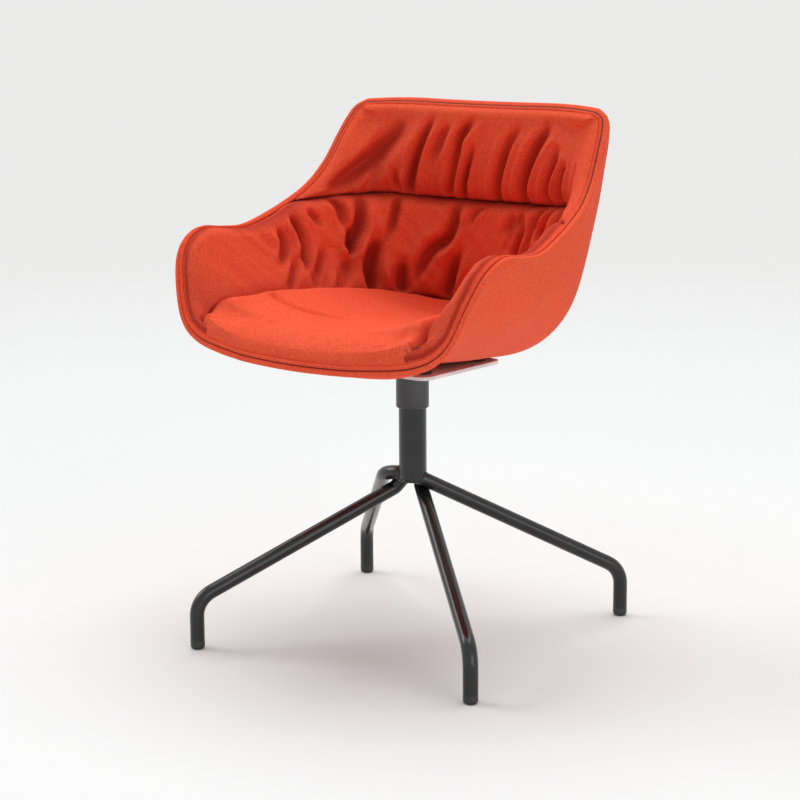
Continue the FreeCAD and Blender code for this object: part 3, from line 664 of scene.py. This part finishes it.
# Folds of the three pads: width in millimetres, then the line of (share, v, depth)
LOWER_FOLDS = [
    (7, [(-0.98, 7.96, 1), (-0.91, 7.78, 6), (-0.83, 7.50, 7), (-0.73, 7.10, 6),
         (-0.64, 6.78, 2)]),
    (5, [(-0.94, 8.36, 3), (-0.90, 8.38, 5), (-0.86, 8.32, 1)]),
    (8, [(-0.94, 7.34, 1), (-0.89, 7.20, 4), (-0.80, 6.80, 4), (-0.72, 6.30, 1)]),
    (6, [(-0.93, 9.12, 6), (-0.87, 9.16, 7), (-0.83, 9.02, 7), (-0.78, 8.88, 6),
         (-0.73, 8.72, 7), (-0.67, 8.40, 6), (-0.63, 7.96, 5), (-0.54, 7.26, 4)]),
    (9, [(-0.79, 9.90, 4), (-0.76, 9.62, 5), (-0.74, 9.26, 8), (-0.72, 8.88, 11),
         (-0.70, 8.58, 8)]),
    (11, [(-0.62, 9.42, 1), (-0.61, 8.98, 7), (-0.57, 8.54, 9), (-0.50, 8.00, 7)]),
    (6, [(-0.57, 10.80, 5), (-0.57, 10.40, 6), (-0.57, 10.00, 5), (-0.58, 9.54, 1)]),
    (9, [(-0.41, 8.66, 8), (-0.44, 9.08, 7), (-0.45, 9.36, 2)]),
    (9, [(-0.17, 11.30, 4), (-0.19, 11.00, 4), (-0.20, 10.70, 5), (-0.23, 10.38, 6),
         (-0.31, 10.04, 6), (-0.35, 9.64, 5), (-0.37, 9.22, 4), (-0.37, 8.72, 4)]),
    (5, [(-0.01, 11.24, 3), (-0.06, 11.04, 3), (-0.10, 10.76, 1)]),
    (9, [(-0.15, 10.22, 1), (-0.17, 9.86, 5), (-0.18, 9.52, 6), (-0.19, 9.16, 5)]),
    (6, [(0.23, 11.04, 3), (0.20, 10.80, 4), (0.17, 10.60, 1)]),
    (5, [(0.31, 11.18, 5), (0.26, 10.86, 5), (0.21, 10.54, 4), (0.18, 10.26, 2)]),
    (7, [(0.31, 10.86, 3), (0.28, 10.56, 5), (0.25, 10.30, 5), (0.20, 9.80, 3)]),
    (5, [(0.46, 11.02, 6), (0.41, 10.76, 6), (0.37, 10.52, 5), (0.34, 10.32, 5),
         (0.30, 9.90, 2)]),
    (5, [(0.55, 10.78, 5), (0.51, 10.56, 6), (0.45, 10.42, 5), (0.42, 10.30, 3)]),
    (6, [(-0.69, 7.76, 1), (-0.62, 7.24, 4), (-0.54, 6.74, 4)]),
    (8, [(-0.76, 7.90, 1), (-0.69, 7.36, 5), (-0.58, 6.68, 5)]),
    (6, [(-0.77, 7.06, 1), (-0.69, 6.54, 4), (-0.58, 5.92, 4)]),
    (5, [(-0.56, 8.32, 2), (-0.51, 8.04, 5), (-0.47, 7.84, 5)]),
    (5, [(-0.67, 8.00, 2), (-0.61, 7.52, 5), (-0.53, 7.06, 5)]),
    (8, [(0.66, 10.50, 5), (0.64, 10.10, 6), (0.60, 9.60, 5), (0.55, 9.00, 2)]),
    (6, [(0.82, 9.85, 5), (0.77, 9.45, 6), (0.72, 9.00, 5), (0.64, 8.40, 3)]),
    (7, [(0.93, 8.90, 3), (0.86, 8.60, 5), (0.78, 8.20, 4), (0.68, 7.60, 2)]),
    (8, [(0.90, 7.60, 1), (0.80, 7.30, 4), (0.70, 6.90, 4), (0.58, 6.40, 3)]),
    (9, [(0.30, 8.82, 5), (0.33, 9.10, 5), (0.36, 9.60, 2)]),
    (8, [(0.08, 9.17, 5), (0.10, 9.40, 5), (0.13, 9.90, 2)]),
    (7, [(0.52, 7.60, 5), (0.58, 8.00, 5), (0.64, 8.45, 1)]),
    (6, [(0.56, 6.70, 4), (0.64, 7.05, 4), (0.72, 7.40, 1)]),
    (6, [(-0.10, 9.17, 4), (-0.08, 9.30, 4), (-0.06, 9.70, 1)]),
]
UPPER_FOLDS = [
    (14, [(-0.93, 9.58, 4), (-0.89, 10.18, 6), (-0.82, 10.92, 7), (-0.72, 11.96, 6),
         (-0.62, 12.76, 4), (-0.58, 13.46, 1)]),
    (5, [(-0.58, 10.98, 4), (-0.60, 11.24, 4), (-0.62, 11.52, 1)]),
    (7, [(-0.51, 11.12, 6), (-0.49, 11.64, 7), (-0.45, 12.26, 6), (-0.40, 12.80, 5),
         (-0.33, 14.00, 3), (-0.25, 13.90, 1)]),
    (9, [(-0.37, 12.10, 1), (-0.30, 12.58, 3), (-0.23, 13.24, 2)]),
    (7, [(-0.24, 11.44, 5), (-0.20, 11.92, 4), (-0.16, 12.46, 5), (-0.12, 12.98, 6),
         (0.02, 13.92, 5), (0.10, 13.95, 2)]),
    (5, [(-0.15, 11.40, 7), (-0.12, 11.82, 7), (-0.08, 12.24, 4), (-0.04, 12.60, 1)]),
    (7, [(0.08, 11.38, 5), (0.12, 11.82, 5), (0.17, 12.28, 5), (0.24, 12.86, 3),
         (0.39, 13.90, 1)]),
    (8, [(0.28, 11.28, 5), (0.31, 11.66, 6), (0.37, 12.18, 6), (0.44, 12.74, 5),
         (0.56, 13.62, 3), (0.66, 13.90, 1)]),
    (7, [(0.47, 11.06, 5), (0.51, 11.50, 5), (0.56, 12.02, 4), (0.58, 12.52, 1)]),
    (6, [(0.60, 10.78, 5), (0.63, 11.24, 5), (0.64, 11.74, 4), (0.65, 11.96, 1)]),
    (6, [(-0.78, 10.20, 3), (-0.76, 10.60, 4), (-0.72, 11.10, 1)]),
    (6, [(0.80, 10.10, 4), (0.82, 10.60, 4), (0.84, 11.20, 1)]),
]
SEAT_FOLDS = [
    (6, [(-0.50, 4.66, 2), (-0.40, 4.64, 2.5), (-0.32, 4.72, 2.5), (-0.26, 4.88, 2),
         (-0.20, 5.08, 1.5), (-0.13, 5.22, 0.5)]),
    (6, [(-0.86, 0.50, 1.5), (-0.76, 1.00, 2), (-0.64, 1.60, 1.5), (-0.52, 2.30, 0.5)]),
    (5, [(-0.70, 0.40, 1.5), (-0.62, 0.95, 2), (-0.53, 1.50, 1)]),
    (6, [(-0.52, 0.40, 1), (-0.46, 1.00, 2), (-0.38, 1.70, 1.5), (-0.30, 2.30, 0.5)]),
    (5, [(-0.34, 0.35, 1), (-0.29, 0.90, 1.5), (-0.22, 1.50, 0.5)]),
    (7, [(-0.14, 0.40, 1), (-0.10, 1.10, 1.5), (-0.02, 1.80, 1), (0.06, 2.60, 0.5)]),
    (6, [(0.08, 0.35, 1), (0.10, 0.90, 1.5), (0.13, 1.50, 0.5)]),
    (6, [(0.26, 0.35, 1), (0.30, 0.95, 1.5), (0.32, 1.70, 0.5)]),
    (5, [(0.46, 0.35, 1), (0.49, 0.90, 1.5), (0.50, 1.50, 0.5)]),
    (7, [(0.72, 0.90, 1.5), (0.70, 1.40, 2), (0.66, 2.10, 2), (0.60, 2.80, 0.5)]),
    (5, [(0.84, 0.60, 1), (0.80, 1.10, 2), (0.74, 1.60, 1)]),
]


# The pads bulge out over the rim: at the arms and seat, at the back, how far in that
# reaches, and what brings its curve to 1 at the peak
EDGE_PUFF = 0.0022
BACK_PUFF = 0.0020
PUFF_REACH = 0.022
PUFF_PEAK = 27 / 4
# Painted shade: its most, the fold depth that brings it on, how it dies out, its reach at seams
SHADE = 0.85
SHADE_DEPTH = 0.0058
SHADE_POWER = 1.3
SEAM_SHADE = 0.008
# The pads end just inside the rim, and stand a little higher along the seam
EDGE_SHARE = 0.997
SEAM_EDGE = 0.004
# Folds and waves fade with the drop at an edge, down to a least share. FAR is a distance
# that takes a place out of an edge's reach.
FADE_DROP = 0.02
FADE_LEAST = 0.25
LEAST_THICKNESS = 0.002
FAR = 0.05


def panel(name, v, share, height, drops, extra, folds, puffs, seams, calm=1.0, shade_scale=1.0,
          depth_at=PANEL_LEVEL):
    """A closed pad over a grid. drops holds (distance, height at the edge, radius), and
    puffs (distance, axis, sign, size) for each edge that bulges out over the rim. seams
    holds (distance, reach, strength) for each edge that gets painted shade. calm fades
    the folds out where it falls to 0, and shade_scale scales their painted shade. Distances
    to folds are taken at the offset depth_at."""
    base = on_bucket(v, share, depth_at)
    down = np.zeros(v.shape)
    for distance, low, radius in drops:
        down = np.maximum(down, (height - low) * (1 - rolled(distance, radius)))
    inland = np.clip(1 - down / FADE_DROP, FADE_LEAST, 1)
    fold = relief(base, folds, depth_at) * inland * calm
    rise = height - down + fold + extra * inland
    front = on_bucket(v, share, np.maximum(rise, PANEL_BACK + LEAST_THICKNESS))
    for distance, axis, sign, swell in puffs:
        out = np.gradient(base, axis=axis)
        out *= sign / np.linalg.norm(out, axis=-1, keepdims=True)
        x = np.clip(distance / PUFF_REACH, 0, 1)
        front += (swell * (x * (1 - x) ** 2 * PUFF_PEAK))[..., None] * out
    back = on_bucket(v, share, PANEL_BACK)
    obj = closed_sheet(name, front, back)
    # Painted shade in the fold valleys and beside the seams, kept in the shade attribute
    deep = shade_scale * SHADE * (1 - np.exp(np.minimum(fold, 0) / SHADE_DEPTH))
    for distance, far, strength in seams:
        deep = np.maximum(deep, strength * np.exp(-(distance / far) ** SHADE_POWER))
    shade = obj.data.attributes.new("shade", "FLOAT", "POINT")
    shade.data.foreach_set("value", np.concatenate([deep.ravel(), 0 * deep.ravel()]))
    return obj


# Lower panel: heights over the bucket and radii of the rolled edges. MORE is what the back
# has over the arms.
LOWER_ROWS = 58
LOWER_COLUMNS = 481
LOWER_HEIGHT = 0.031
LOWER_HEIGHT_MORE = 0.014
LOWER_CROWN = 0.005
CREASE_EDGE = 0.025
CREASE_ROLL = 0.014
CREASE_ROLL_MORE = 0.016
RIM_EDGE = 0.0215
RIM_ROLL = 0.010
RIM_ROLL_MORE = 0.010
# Along the panel, from -1 to 1: where the arm ends, and how long it takes to become the back
ARM_END = 0.80
ARM_FADE = 0.30
# Before this section, near the arms' tips, the crease is open and has no line of painted shade
TIP_V = 1.6
TIP_FADE = 0.6
CREASE_SHADE = 0.42
CREASE_SHADE_REACH = 0.10
RIM_SHADE_REACH = 0.0028
# Long soft waves across the lower back
BACK_WAVE = 0.0014
BACK_WAVE_PITCH = 0.045


def lower_panel():
    """Arms and lower back in one piece, from the seat's crease out to the rim and seam."""
    along = steps(-1, 1, LOWER_COLUMNS)
    place = (1 - np.abs(along)) * (len(CREASE) - 1)
    keys = np.concatenate([CREASE, OUTER], 1)
    inner_share, inner_v, outer_share, outer_v = smooth(keys, place).T
    side = np.sign(along)
    w = steps(0, 1, LOWER_ROWS)[:, None]
    share = side * (inner_share + (outer_share * EDGE_SHARE - inner_share) * w)
    v = inner_v + (outer_v - inner_v) * w + 0 * along
    base = on_bucket(v, share, PANEL_LEVEL)
    from_crease = run(base, 0)
    from_rim = from_crease[-1:] - from_crease
    across = run(base, 1)
    back_part = eased((ARM_END - np.abs(along)) / ARM_FADE)
    height = LOWER_HEIGHT + LOWER_HEIGHT_MORE * back_part + LOWER_CROWN * np.sin(pi * w)
    drops = [(from_crease, CREASE_EDGE, CREASE_ROLL + CREASE_ROLL_MORE * back_part),
             (from_rim, RIM_EDGE + SEAM_EDGE * back_part, RIM_ROLL + RIM_ROLL_MORE * back_part)]
    mid = across[LOWER_ROWS // 2]
    extra = gathers(mid, from_rim, size=0.0009, pitch=0.011, fade=0.012, seed=3)
    extra += gathers(mid, from_rim, size=0.0014, pitch=0.013, fade=0.018, seed=13) * back_part
    extra += gathers(mid, from_crease, size=0.0010, pitch=0.020, fade=0.030, seed=4) * back_part
    extra += BACK_WAVE * ripple(across, BACK_WAVE_PITCH, seed=5) * back_part
    arm_rim = from_rim + FAR * back_part
    back_seam = from_rim + FAR * (1 - back_part)
    crease_past_tip = from_crease + FAR * eased((TIP_V - v) / TIP_FADE)
    return panel("inside_lower_panel", v, share, height, drops, extra, LOWER_FOLDS,
                 [(arm_rim, 0, 1, EDGE_PUFF)],
                 [(crease_past_tip, SEAM_SHADE, SHADE), (back_seam, SEAM_SHADE, SHADE),
                  (from_crease, CREASE_SHADE_REACH, CREASE_SHADE),
                  (from_rim, RIM_SHADE_REACH, SHADE)])


# Upper panel: where it ends, its height and crown, the heights and rolls of its edges, and
# how far in its folds reach their full depth
UPPER_ROWS = 86
UPPER_COLUMNS = 211
UPPER_END = 13.965
UPPER_HEIGHT = 0.037
UPPER_CROWN = 0.008
CROWN_EARLY = 0.6
CROWN_SQUARENESS = 6
UPPER_SEAM_EDGE = 0.0195 + SEAM_EDGE
UPPER_SEAM_ROLL = 0.032
UPPER_RIM_EDGE = 0.0190
TOP_ROLL = 0.042
SIDE_ROLL = 0.032
TOP_CALM = 0.040
SIDE_CALM = 0.030
UPPER_SHADE_SCALE = 0.75
# Up to this column, from -1 at the left, the seam has a wider painted shade, which then fades
# out
LEFT_END = -0.5
LEFT_SHADE = 0.45
LEFT_SHADE_REACH = 0.07


def upper_panel():
    """The upper back, from the seam to the rim at its top and sides."""
    column = steps(-1, 1, UPPER_COLUMNS)[None, :]
    share = column * EDGE_SHARE
    low = seam_level(share) + SEAM_GAP
    w = steps(0, 1, UPPER_ROWS)[:, None]
    v = low + (UPPER_END - low) * w
    share = share + 0 * w
    base = on_bucket(v, share, PANEL_LEVEL)
    up = run(base, 0)
    over = run(base, 1)
    from_seam, from_top = up, up[-1:] - up
    from_side = np.minimum(over, over[:, -1:] - over)
    crown = np.sin(pi * w ** CROWN_EARLY) * (1 - column ** CROWN_SQUARENESS)
    height = UPPER_HEIGHT + UPPER_CROWN * crown
    drops = [(from_seam, UPPER_SEAM_EDGE, UPPER_SEAM_ROLL),
             (from_top, UPPER_RIM_EDGE, TOP_ROLL), (from_side, UPPER_RIM_EDGE, SIDE_ROLL)]
    mid = over[UPPER_ROWS // 4]
    extra = gathers(mid, from_seam, size=0.0017, pitch=0.0105, fade=0.012, seed=6)
    extra += gathers(mid, from_seam, size=0.0010, pitch=0.026, fade=0.05, seed=7)
    extra += gathers(up, from_side, size=0.0009, pitch=0.016, fade=0.014, seed=8)
    left_seam = from_seam + FAR * eased(column - LEFT_END)
    calm = eased(from_top / TOP_CALM) * eased(from_side / SIDE_CALM)
    return panel("inside_upper_panel", v, share, height, drops, extra, UPPER_FOLDS,
                 [(from_top, 0, 1, BACK_PUFF), (over, 1, -1, BACK_PUFF),
                  (over[:, -1:] - over, 1, 1, BACK_PUFF)],
                 [(from_seam, SEAM_SHADE, SHADE), (left_seam, LEFT_SHADE_REACH, LEFT_SHADE)],
                 calm, UPPER_SHADE_SCALE)


# Seat: its side line follows the rim, then the crease up to the corner where the rear line
# begins, which is a place in the crease's list
SEAT_ROWS = 151
SEAT_COLUMNS = 121
SEAT_CORNER = 9
SEAT_SIDE_LINE = [(1.0, 0.05), (1.0, 0.5), (1.0, 0.9)] + CREASE[1:SEAT_CORNER + 1]
SEAT_REAR_LINE = CREASE[:SEAT_CORNER - 1:-1]
REAR_BEND = 1.6
SEAT_HEIGHT = 0.053
SEAT_CROWN = 0.006
FRONT_EDGE = 0.0195
FRONT_ROLL = 0.062
REAR_EDGE = 0.036
REAR_ROLL = 0.014
SIDE_EDGE = 0.0265
SEAT_SIDE_ROLL = 0.022
# The folds near the front are shallower, and the sides have no painted shade before the crease
FRONT_FOLDS = 0.35
FRONT_CALM_V = 1.6
FRONT_CALM_FADE = 1.6
SIDE_SHADE_REACH = 0.007
SIDE_SHADE_V = 1.3
SIDE_SHADE_FADE = 0.4
SEAT_SHADE_SCALE = 0.4
# Section number and about how far its spine lies behind the front edge, after STATIONS
FRONT_RUN = [(0.05, 0), (1, 0.016), (2, 0.0325), (3, 0.053), (4, 0.097), (5, 0.162),
             (6, 0.235), (7, 0.325)]


def seat_pad():
    """The seat, from the front rim between the arms' creases to the lower back."""
    a = steps(0, 1, SEAT_ROWS)
    side_share, side_v = smooth(SEAT_SIDE_LINE, a * (len(SEAT_SIDE_LINE) - 1)).T
    b = steps(-1, 1, SEAT_COLUMNS)[None, :]
    share = side_share[:, None] * b * EDGE_SHARE
    corner_share, corner_v = CREASE[SEAT_CORNER]
    rear = np.interp(np.abs(b) * corner_share, *zip(*SEAT_REAR_LINE))
    v = side_v[:, None] + (rear - corner_v) * (a[:, None] ** REAR_BEND)
    base = on_bucket(v, share, SEAT_LEVEL)
    along = run(base, 0)
    over = run(base, 1)
    from_front = np.interp(v, *zip(*FRONT_RUN))
    from_rear = along[-1:] - along
    from_side = np.minimum(over, over[:, -1:] - over)
    height = SEAT_HEIGHT + SEAT_CROWN * np.sin(pi * a[:, None]) * (1 - b ** 2)
    drops = [(from_front, FRONT_EDGE, FRONT_ROLL), (from_rear, REAR_EDGE, REAR_ROLL),
             (from_side, SIDE_EDGE, SEAT_SIDE_ROLL)]
    mid = over[SEAT_ROWS // 2]
    extra = gathers(mid, from_front, size=0.0008, pitch=0.03, fade=0.05, seed=9)
    extra += gathers(along, from_side, size=0.0007, pitch=0.017, fade=0.012, seed=10)
    crease_side = from_side + FAR * eased((SIDE_SHADE_V - v) / SIDE_SHADE_FADE)
    calm = FRONT_FOLDS + (1 - FRONT_FOLDS) * eased((v - FRONT_CALM_V) / FRONT_CALM_FADE)
    return panel("seat_cushion", v, share, height, drops, extra, SEAT_FOLDS,
                 [(from_front, 0, -1, EDGE_PUFF)],
                 [(from_rear, SEAM_SHADE, SHADE), (crease_side, SIDE_SHADE_REACH, SHADE)],
                 calm, SEAT_SHADE_SCALE, SEAT_LEVEL)


lower = subdivide(lower_panel())
upper = subdivide(upper_panel())
seat = subdivide(seat_pad())
settle(lower, "lower_back_pad", "left_arm_pad", "right_arm_pad", "foam_lining")
settle(upper, "upper_back_pad")
settle(seat, "seat_pad")


# Stitches and weld

def threads(name, lines, radius):
    """Short threads with rounded ends, each along its own few points, as one fine piece."""
    sides = 6
    vertices, faces = [], []
    for line in lines:
        line = np.array(line, float)
        ahead = np.gradient(line, axis=0)
        ahead /= np.linalg.norm(ahead, axis=1, keepdims=True)
        side = np.cross(ahead, ASIDE)
        side /= np.linalg.norm(side, axis=1, keepdims=True)
        other = np.cross(ahead, side)
        swell = np.sin(pi * (np.arange(len(line)) + 0.5) / len(line)) ** 0.5
        start = len(vertices)
        for k in range(len(line)):
            vertices += [line[k] + radius * swell[k] * (side[k] * cos(t) + other[k] * sin(t))
                         for t in steps(0, 2 * pi, sides + 1)[:-1]]
        faces += grid_faces(len(line), sides, start, ring_columns=True)
        faces.append([start + k for k in range(sides)][::-1])
        faces.append([len(vertices) - sides + k for k in range(sides)])
    return subdivide(new_object(name, vertices, faces, THREAD, "seat", "wool_felt"))


def stitch_lines(v, share, offset, pitch, length, sink):
    """Stitches along a line on the bucket: each dips into the cloth at both ends."""
    path = on_bucket(v, share, offset)
    deeper = on_bucket(v, share, offset - sink)
    along = run(path, 0)
    starts = np.arange(pitch / 2, along[-1] - length, pitch)
    lines = []
    for start in starts:
        points = []
        for part, dip in ((0, 1.0), (0.2, 0.3), (0.5, 0.0), (0.8, 0.3), (1, 1.0)):
            at = start + part * length
            place = [np.interp(at, along, path[:, k] * (1 - dip) + deeper[:, k] * dip)
                     for k in range(3)]
            points.append(place)
        lines.append(points)
    return lines


# Stitches: height over the bucket, pitch, length and how deep the ends sink
SEAM_STITCH = (0.0264, 0.0072, 0.0052, 0.0014)
ARM_STITCH = (0.0312, 0.0066, 0.0046, 0.0014)
SEAM_STITCH_END = 0.97
ARM_STITCH_SHARE = 0.984
ARM_STITCH_START = 2.0
ARM_STITCH_END = 8.0
THREAD_RADIUS = 0.00045
# Corner stitches: where they start and end, their line of (v, share), half their length in
# share, and their heights from the seat to the arm
CORNER_COUNT = 5
CORNER_START = 1.05
CORNER_END = 1.75
CORNER_LINE = [(0.9, 0.985), (1.3, 0.96), (1.9, 0.86)]
CORNER_SPREAD = 0.006
CORNER_HEIGHTS = (0.0375, 0.0345, 0.0310)
CORNER_THREAD_RADIUS = 0.0009


def seam_stitches():
    """The stitches along the back's seam and along each arm's rim."""
    share = steps(-SEAM_STITCH_END, SEAM_STITCH_END, 240)
    lines = stitch_lines(seam_level(share) + SEAM_GAP / 2, share, *SEAM_STITCH)
    for side in (-1, 1):
        v = steps(ARM_STITCH_START, ARM_STITCH_END, 160)
        lines += stitch_lines(v, side * ARM_STITCH_SHARE + 0 * v, *ARM_STITCH)
    return threads("seam_stitches", lines, THREAD_RADIUS)


def corner_stitches():
    """The hand stitches that close each front corner between seat and arm."""
    lines = []
    for side in (-1, 1):
        for v in steps(CORNER_START, CORNER_END, CORNER_COUNT):
            share = np.interp(v, *zip(*CORNER_LINE))
            spread = steps(-CORNER_SPREAD, CORNER_SPREAD, 7)
            height = np.interp(spread, [-CORNER_SPREAD, 0.0, CORNER_SPREAD], CORNER_HEIGHTS)
            lines.append(on_bucket(v + 0 * spread, side * (share + spread), height))
    return threads("corner_stitches", lines, CORNER_THREAD_RADIUS)


# Weld: tolerance for the tube's outer wall, half the arc in which its lower edge is looked
# for, places round the tube, bead radius and its unevenness
WALL_TOLERANCE = 0.0002
WELD_ARC = 0.09
WELD_PLACES = 96
BEAD_RADIUS = 0.0019
BEAD_WAVE = 0.00035


def weld():
    """A bead round the column's foot, where it sits on the leg tubes."""
    mesh = frame["nodes"]["column_tube"].data
    points = np.array([tuple(p.co) for p in mesh.vertices])
    wide = np.hypot(points[:, 0], points[:, 1])
    points = points[wide > wide.max() - WALL_TOLERANCE]
    turn = np.arctan2(points[:, 1], points[:, 0])
    spots = steps(-pi, pi, WELD_PLACES + 1)[:-1]
    lowest = []
    for spot in spots:
        near = np.abs((turn - spot + pi) % (2 * pi) - pi) < WELD_ARC
        lowest.append(points[near, 2].min())
    for _ in range(2):
        lowest = (np.roll(lowest, 1) + 2 * np.array(lowest) + np.roll(lowest, -1)) / 4
    ring = np.stack([wide.max() * np.cos(spots), wide.max() * np.sin(spots), lowest], -1)
    bead = BEAD_RADIUS + BEAD_WAVE * ripple(spots, pitch=0.5, seed=12)
    return subdivide(ring_tube("column_weld", ring, bead, BLACK, "base", "black_powder_coat"))


settle(seam_stitches())
settle(corner_stitches())
settle(weld())


# Floor, light and camera

def floor():
    """A wide pale floor, as the photograph's backdrop, painted a little darker far away: painted
    shade for the falloff of the light.
    """
    half = 150.0
    material, principled = shader("studio_floor", FLOOR_NEAR, 0.9)
    tune(principled, {"Specular IOR Level": 0.05})
    place = node(material, "ShaderNodeTexCoord")
    away = node(material, "ShaderNodeVectorMath", operation="LENGTH")
    link(material, place.outputs["Object"], away.inputs[0])
    fade = node(material, "ShaderNodeMapRange", interpolation_type="SMOOTHSTEP")
    tune(fade, dict(zip(("From Min", "From Max"), FLOOR_FADE)))
    link(material, away.outputs["Value"], fade.inputs["Value"])
    link(material, ramp(material, fade.outputs["Result"], [(0, FLOOR_NEAR), (1, FLOOR_FAR)]),
         principled.inputs["Base Color"])
    corners = [(-half, -half, 0), (half, -half, 0), (half, half, 0), (-half, half, 0)]
    mesh = bpy.data.meshes.new("studio_floor")
    mesh.from_pydata(corners, [], [(0, 1, 2, 3)])
    mesh.materials.append(material)
    obj = placed("studio_floor", mesh)


def sun(name, power, angle, place):
    """A sun that shines from a direction; the angle, in degrees, is how wide it looks."""
    lamp = bpy.data.lights.new(name, "SUN")
    lamp.energy = power
    lamp.angle = radians(angle)
    placed(name, lamp).rotation_euler = Vector(place).to_track_quat("Z", "Y").to_euler()


def world(low, high, seen):
    """A studio dome, brighter overhead than at the horizon, and the colour it shows."""
    made = bpy.data.worlds.new("studio")
    made.use_nodes = True
    nodes, links = made.node_tree.nodes, made.node_tree.links
    background = nodes["Background"]
    place = nodes.new("ShaderNodeTexCoord")
    split = nodes.new("ShaderNodeSeparateXYZ")
    dome = nodes.new("ShaderNodeMapRange")
    dome.interpolation_type = "SMOOTHSTEP"
    tune(dome, {"To Min": low, "To Max": high})
    links.new(place.outputs["Generated"], split.inputs["Vector"])
    links.new(split.outputs["Z"], dome.inputs["Value"])
    links.new(dome.outputs["Result"], background.inputs["Strength"])
    tune(background, {"Color": (1, 1, 1, 1)})
    backdrop = nodes.new("ShaderNodeBackground")
    tune(backdrop, {"Color": (*seen, 1)})
    rays = nodes.new("ShaderNodeLightPath")
    total = rays.outputs["Is Camera Ray"]
    for ray in ("Is Glossy Ray", "Is Transmission Ray"):
        either = nodes.new("ShaderNodeMath")
        either.operation = "MAXIMUM"
        links.new(total, either.inputs[0])
        links.new(rays.outputs[ray], either.inputs[1])
        total = either.outputs[0]
    choice = nodes.new("ShaderNodeMixShader")
    links.new(total, choice.inputs["Fac"])
    links.new(background.outputs["Background"], choice.inputs[1])
    links.new(backdrop.outputs["Background"], choice.inputs[2])
    links.new(choice.outputs["Shader"], nodes["World Output"].inputs["Surface"])
    bpy.context.scene.world = made


def camera():
    """The photograph's camera, from the perspective fit."""
    distance, height = 3.109, 1.009
    pan, tilt, roll = radians(-0.35), radians(11.68), radians(-0.37)
    around = radians(39.04)
    focal_pixels, picture, sensor = 2091.0, 800.0, 36.0
    ahead = Vector((sin(pan) * cos(tilt), cos(pan) * cos(tilt), -sin(tilt)))
    right = Vector((cos(pan), -sin(pan), 0))
    up = right.cross(ahead)
    right, up = (cos(roll) * right + sin(roll) * up, -sin(roll) * right + cos(roll) * up)
    turn = Matrix.Rotation(around, 3, "Z")
    place = turn @ Vector((0, -distance, height))
    axes = Matrix((turn @ right, turn @ up, turn @ -ahead)).transposed()
    data = bpy.data.cameras.new("camera")
    data.sensor_fit = "HORIZONTAL"
    data.sensor_width = sensor
    data.lens = focal_pixels / picture * sensor
    data.clip_end = 100.0
    obj = placed("camera", data)
    obj.matrix_world = Matrix.Translation(place) @ axes.to_4x4()
    bpy.context.scene.camera = obj


# Floor colour near the chair and far from it, and the distances between which it changes
# Painted light: the far colour is painted shade for the light's falloff, and the near colour is
# a little less red, to take out the red light bounced from the chair
FLOOR_NEAR = (0.855, 0.868, 0.868)
FLOOR_FAR = (0.745, 0.742, 0.740)
FLOOR_FADE = (0.6, 5.0)

floor()
world(low=0.08, high=0.52, seen=(0.83, 0.828, 0.826))
sun("overhead_light", 1.75, 56, (-0.10, 0.22, 1.0))
sun("left_light", 0.70, 30, (-1.0, -0.35, 0.8))
sun("right_light", 0.75, 46, (0.95, -0.30, 0.20))
camera()
bpy.context.scene.view_settings.view_transform = "Standard"
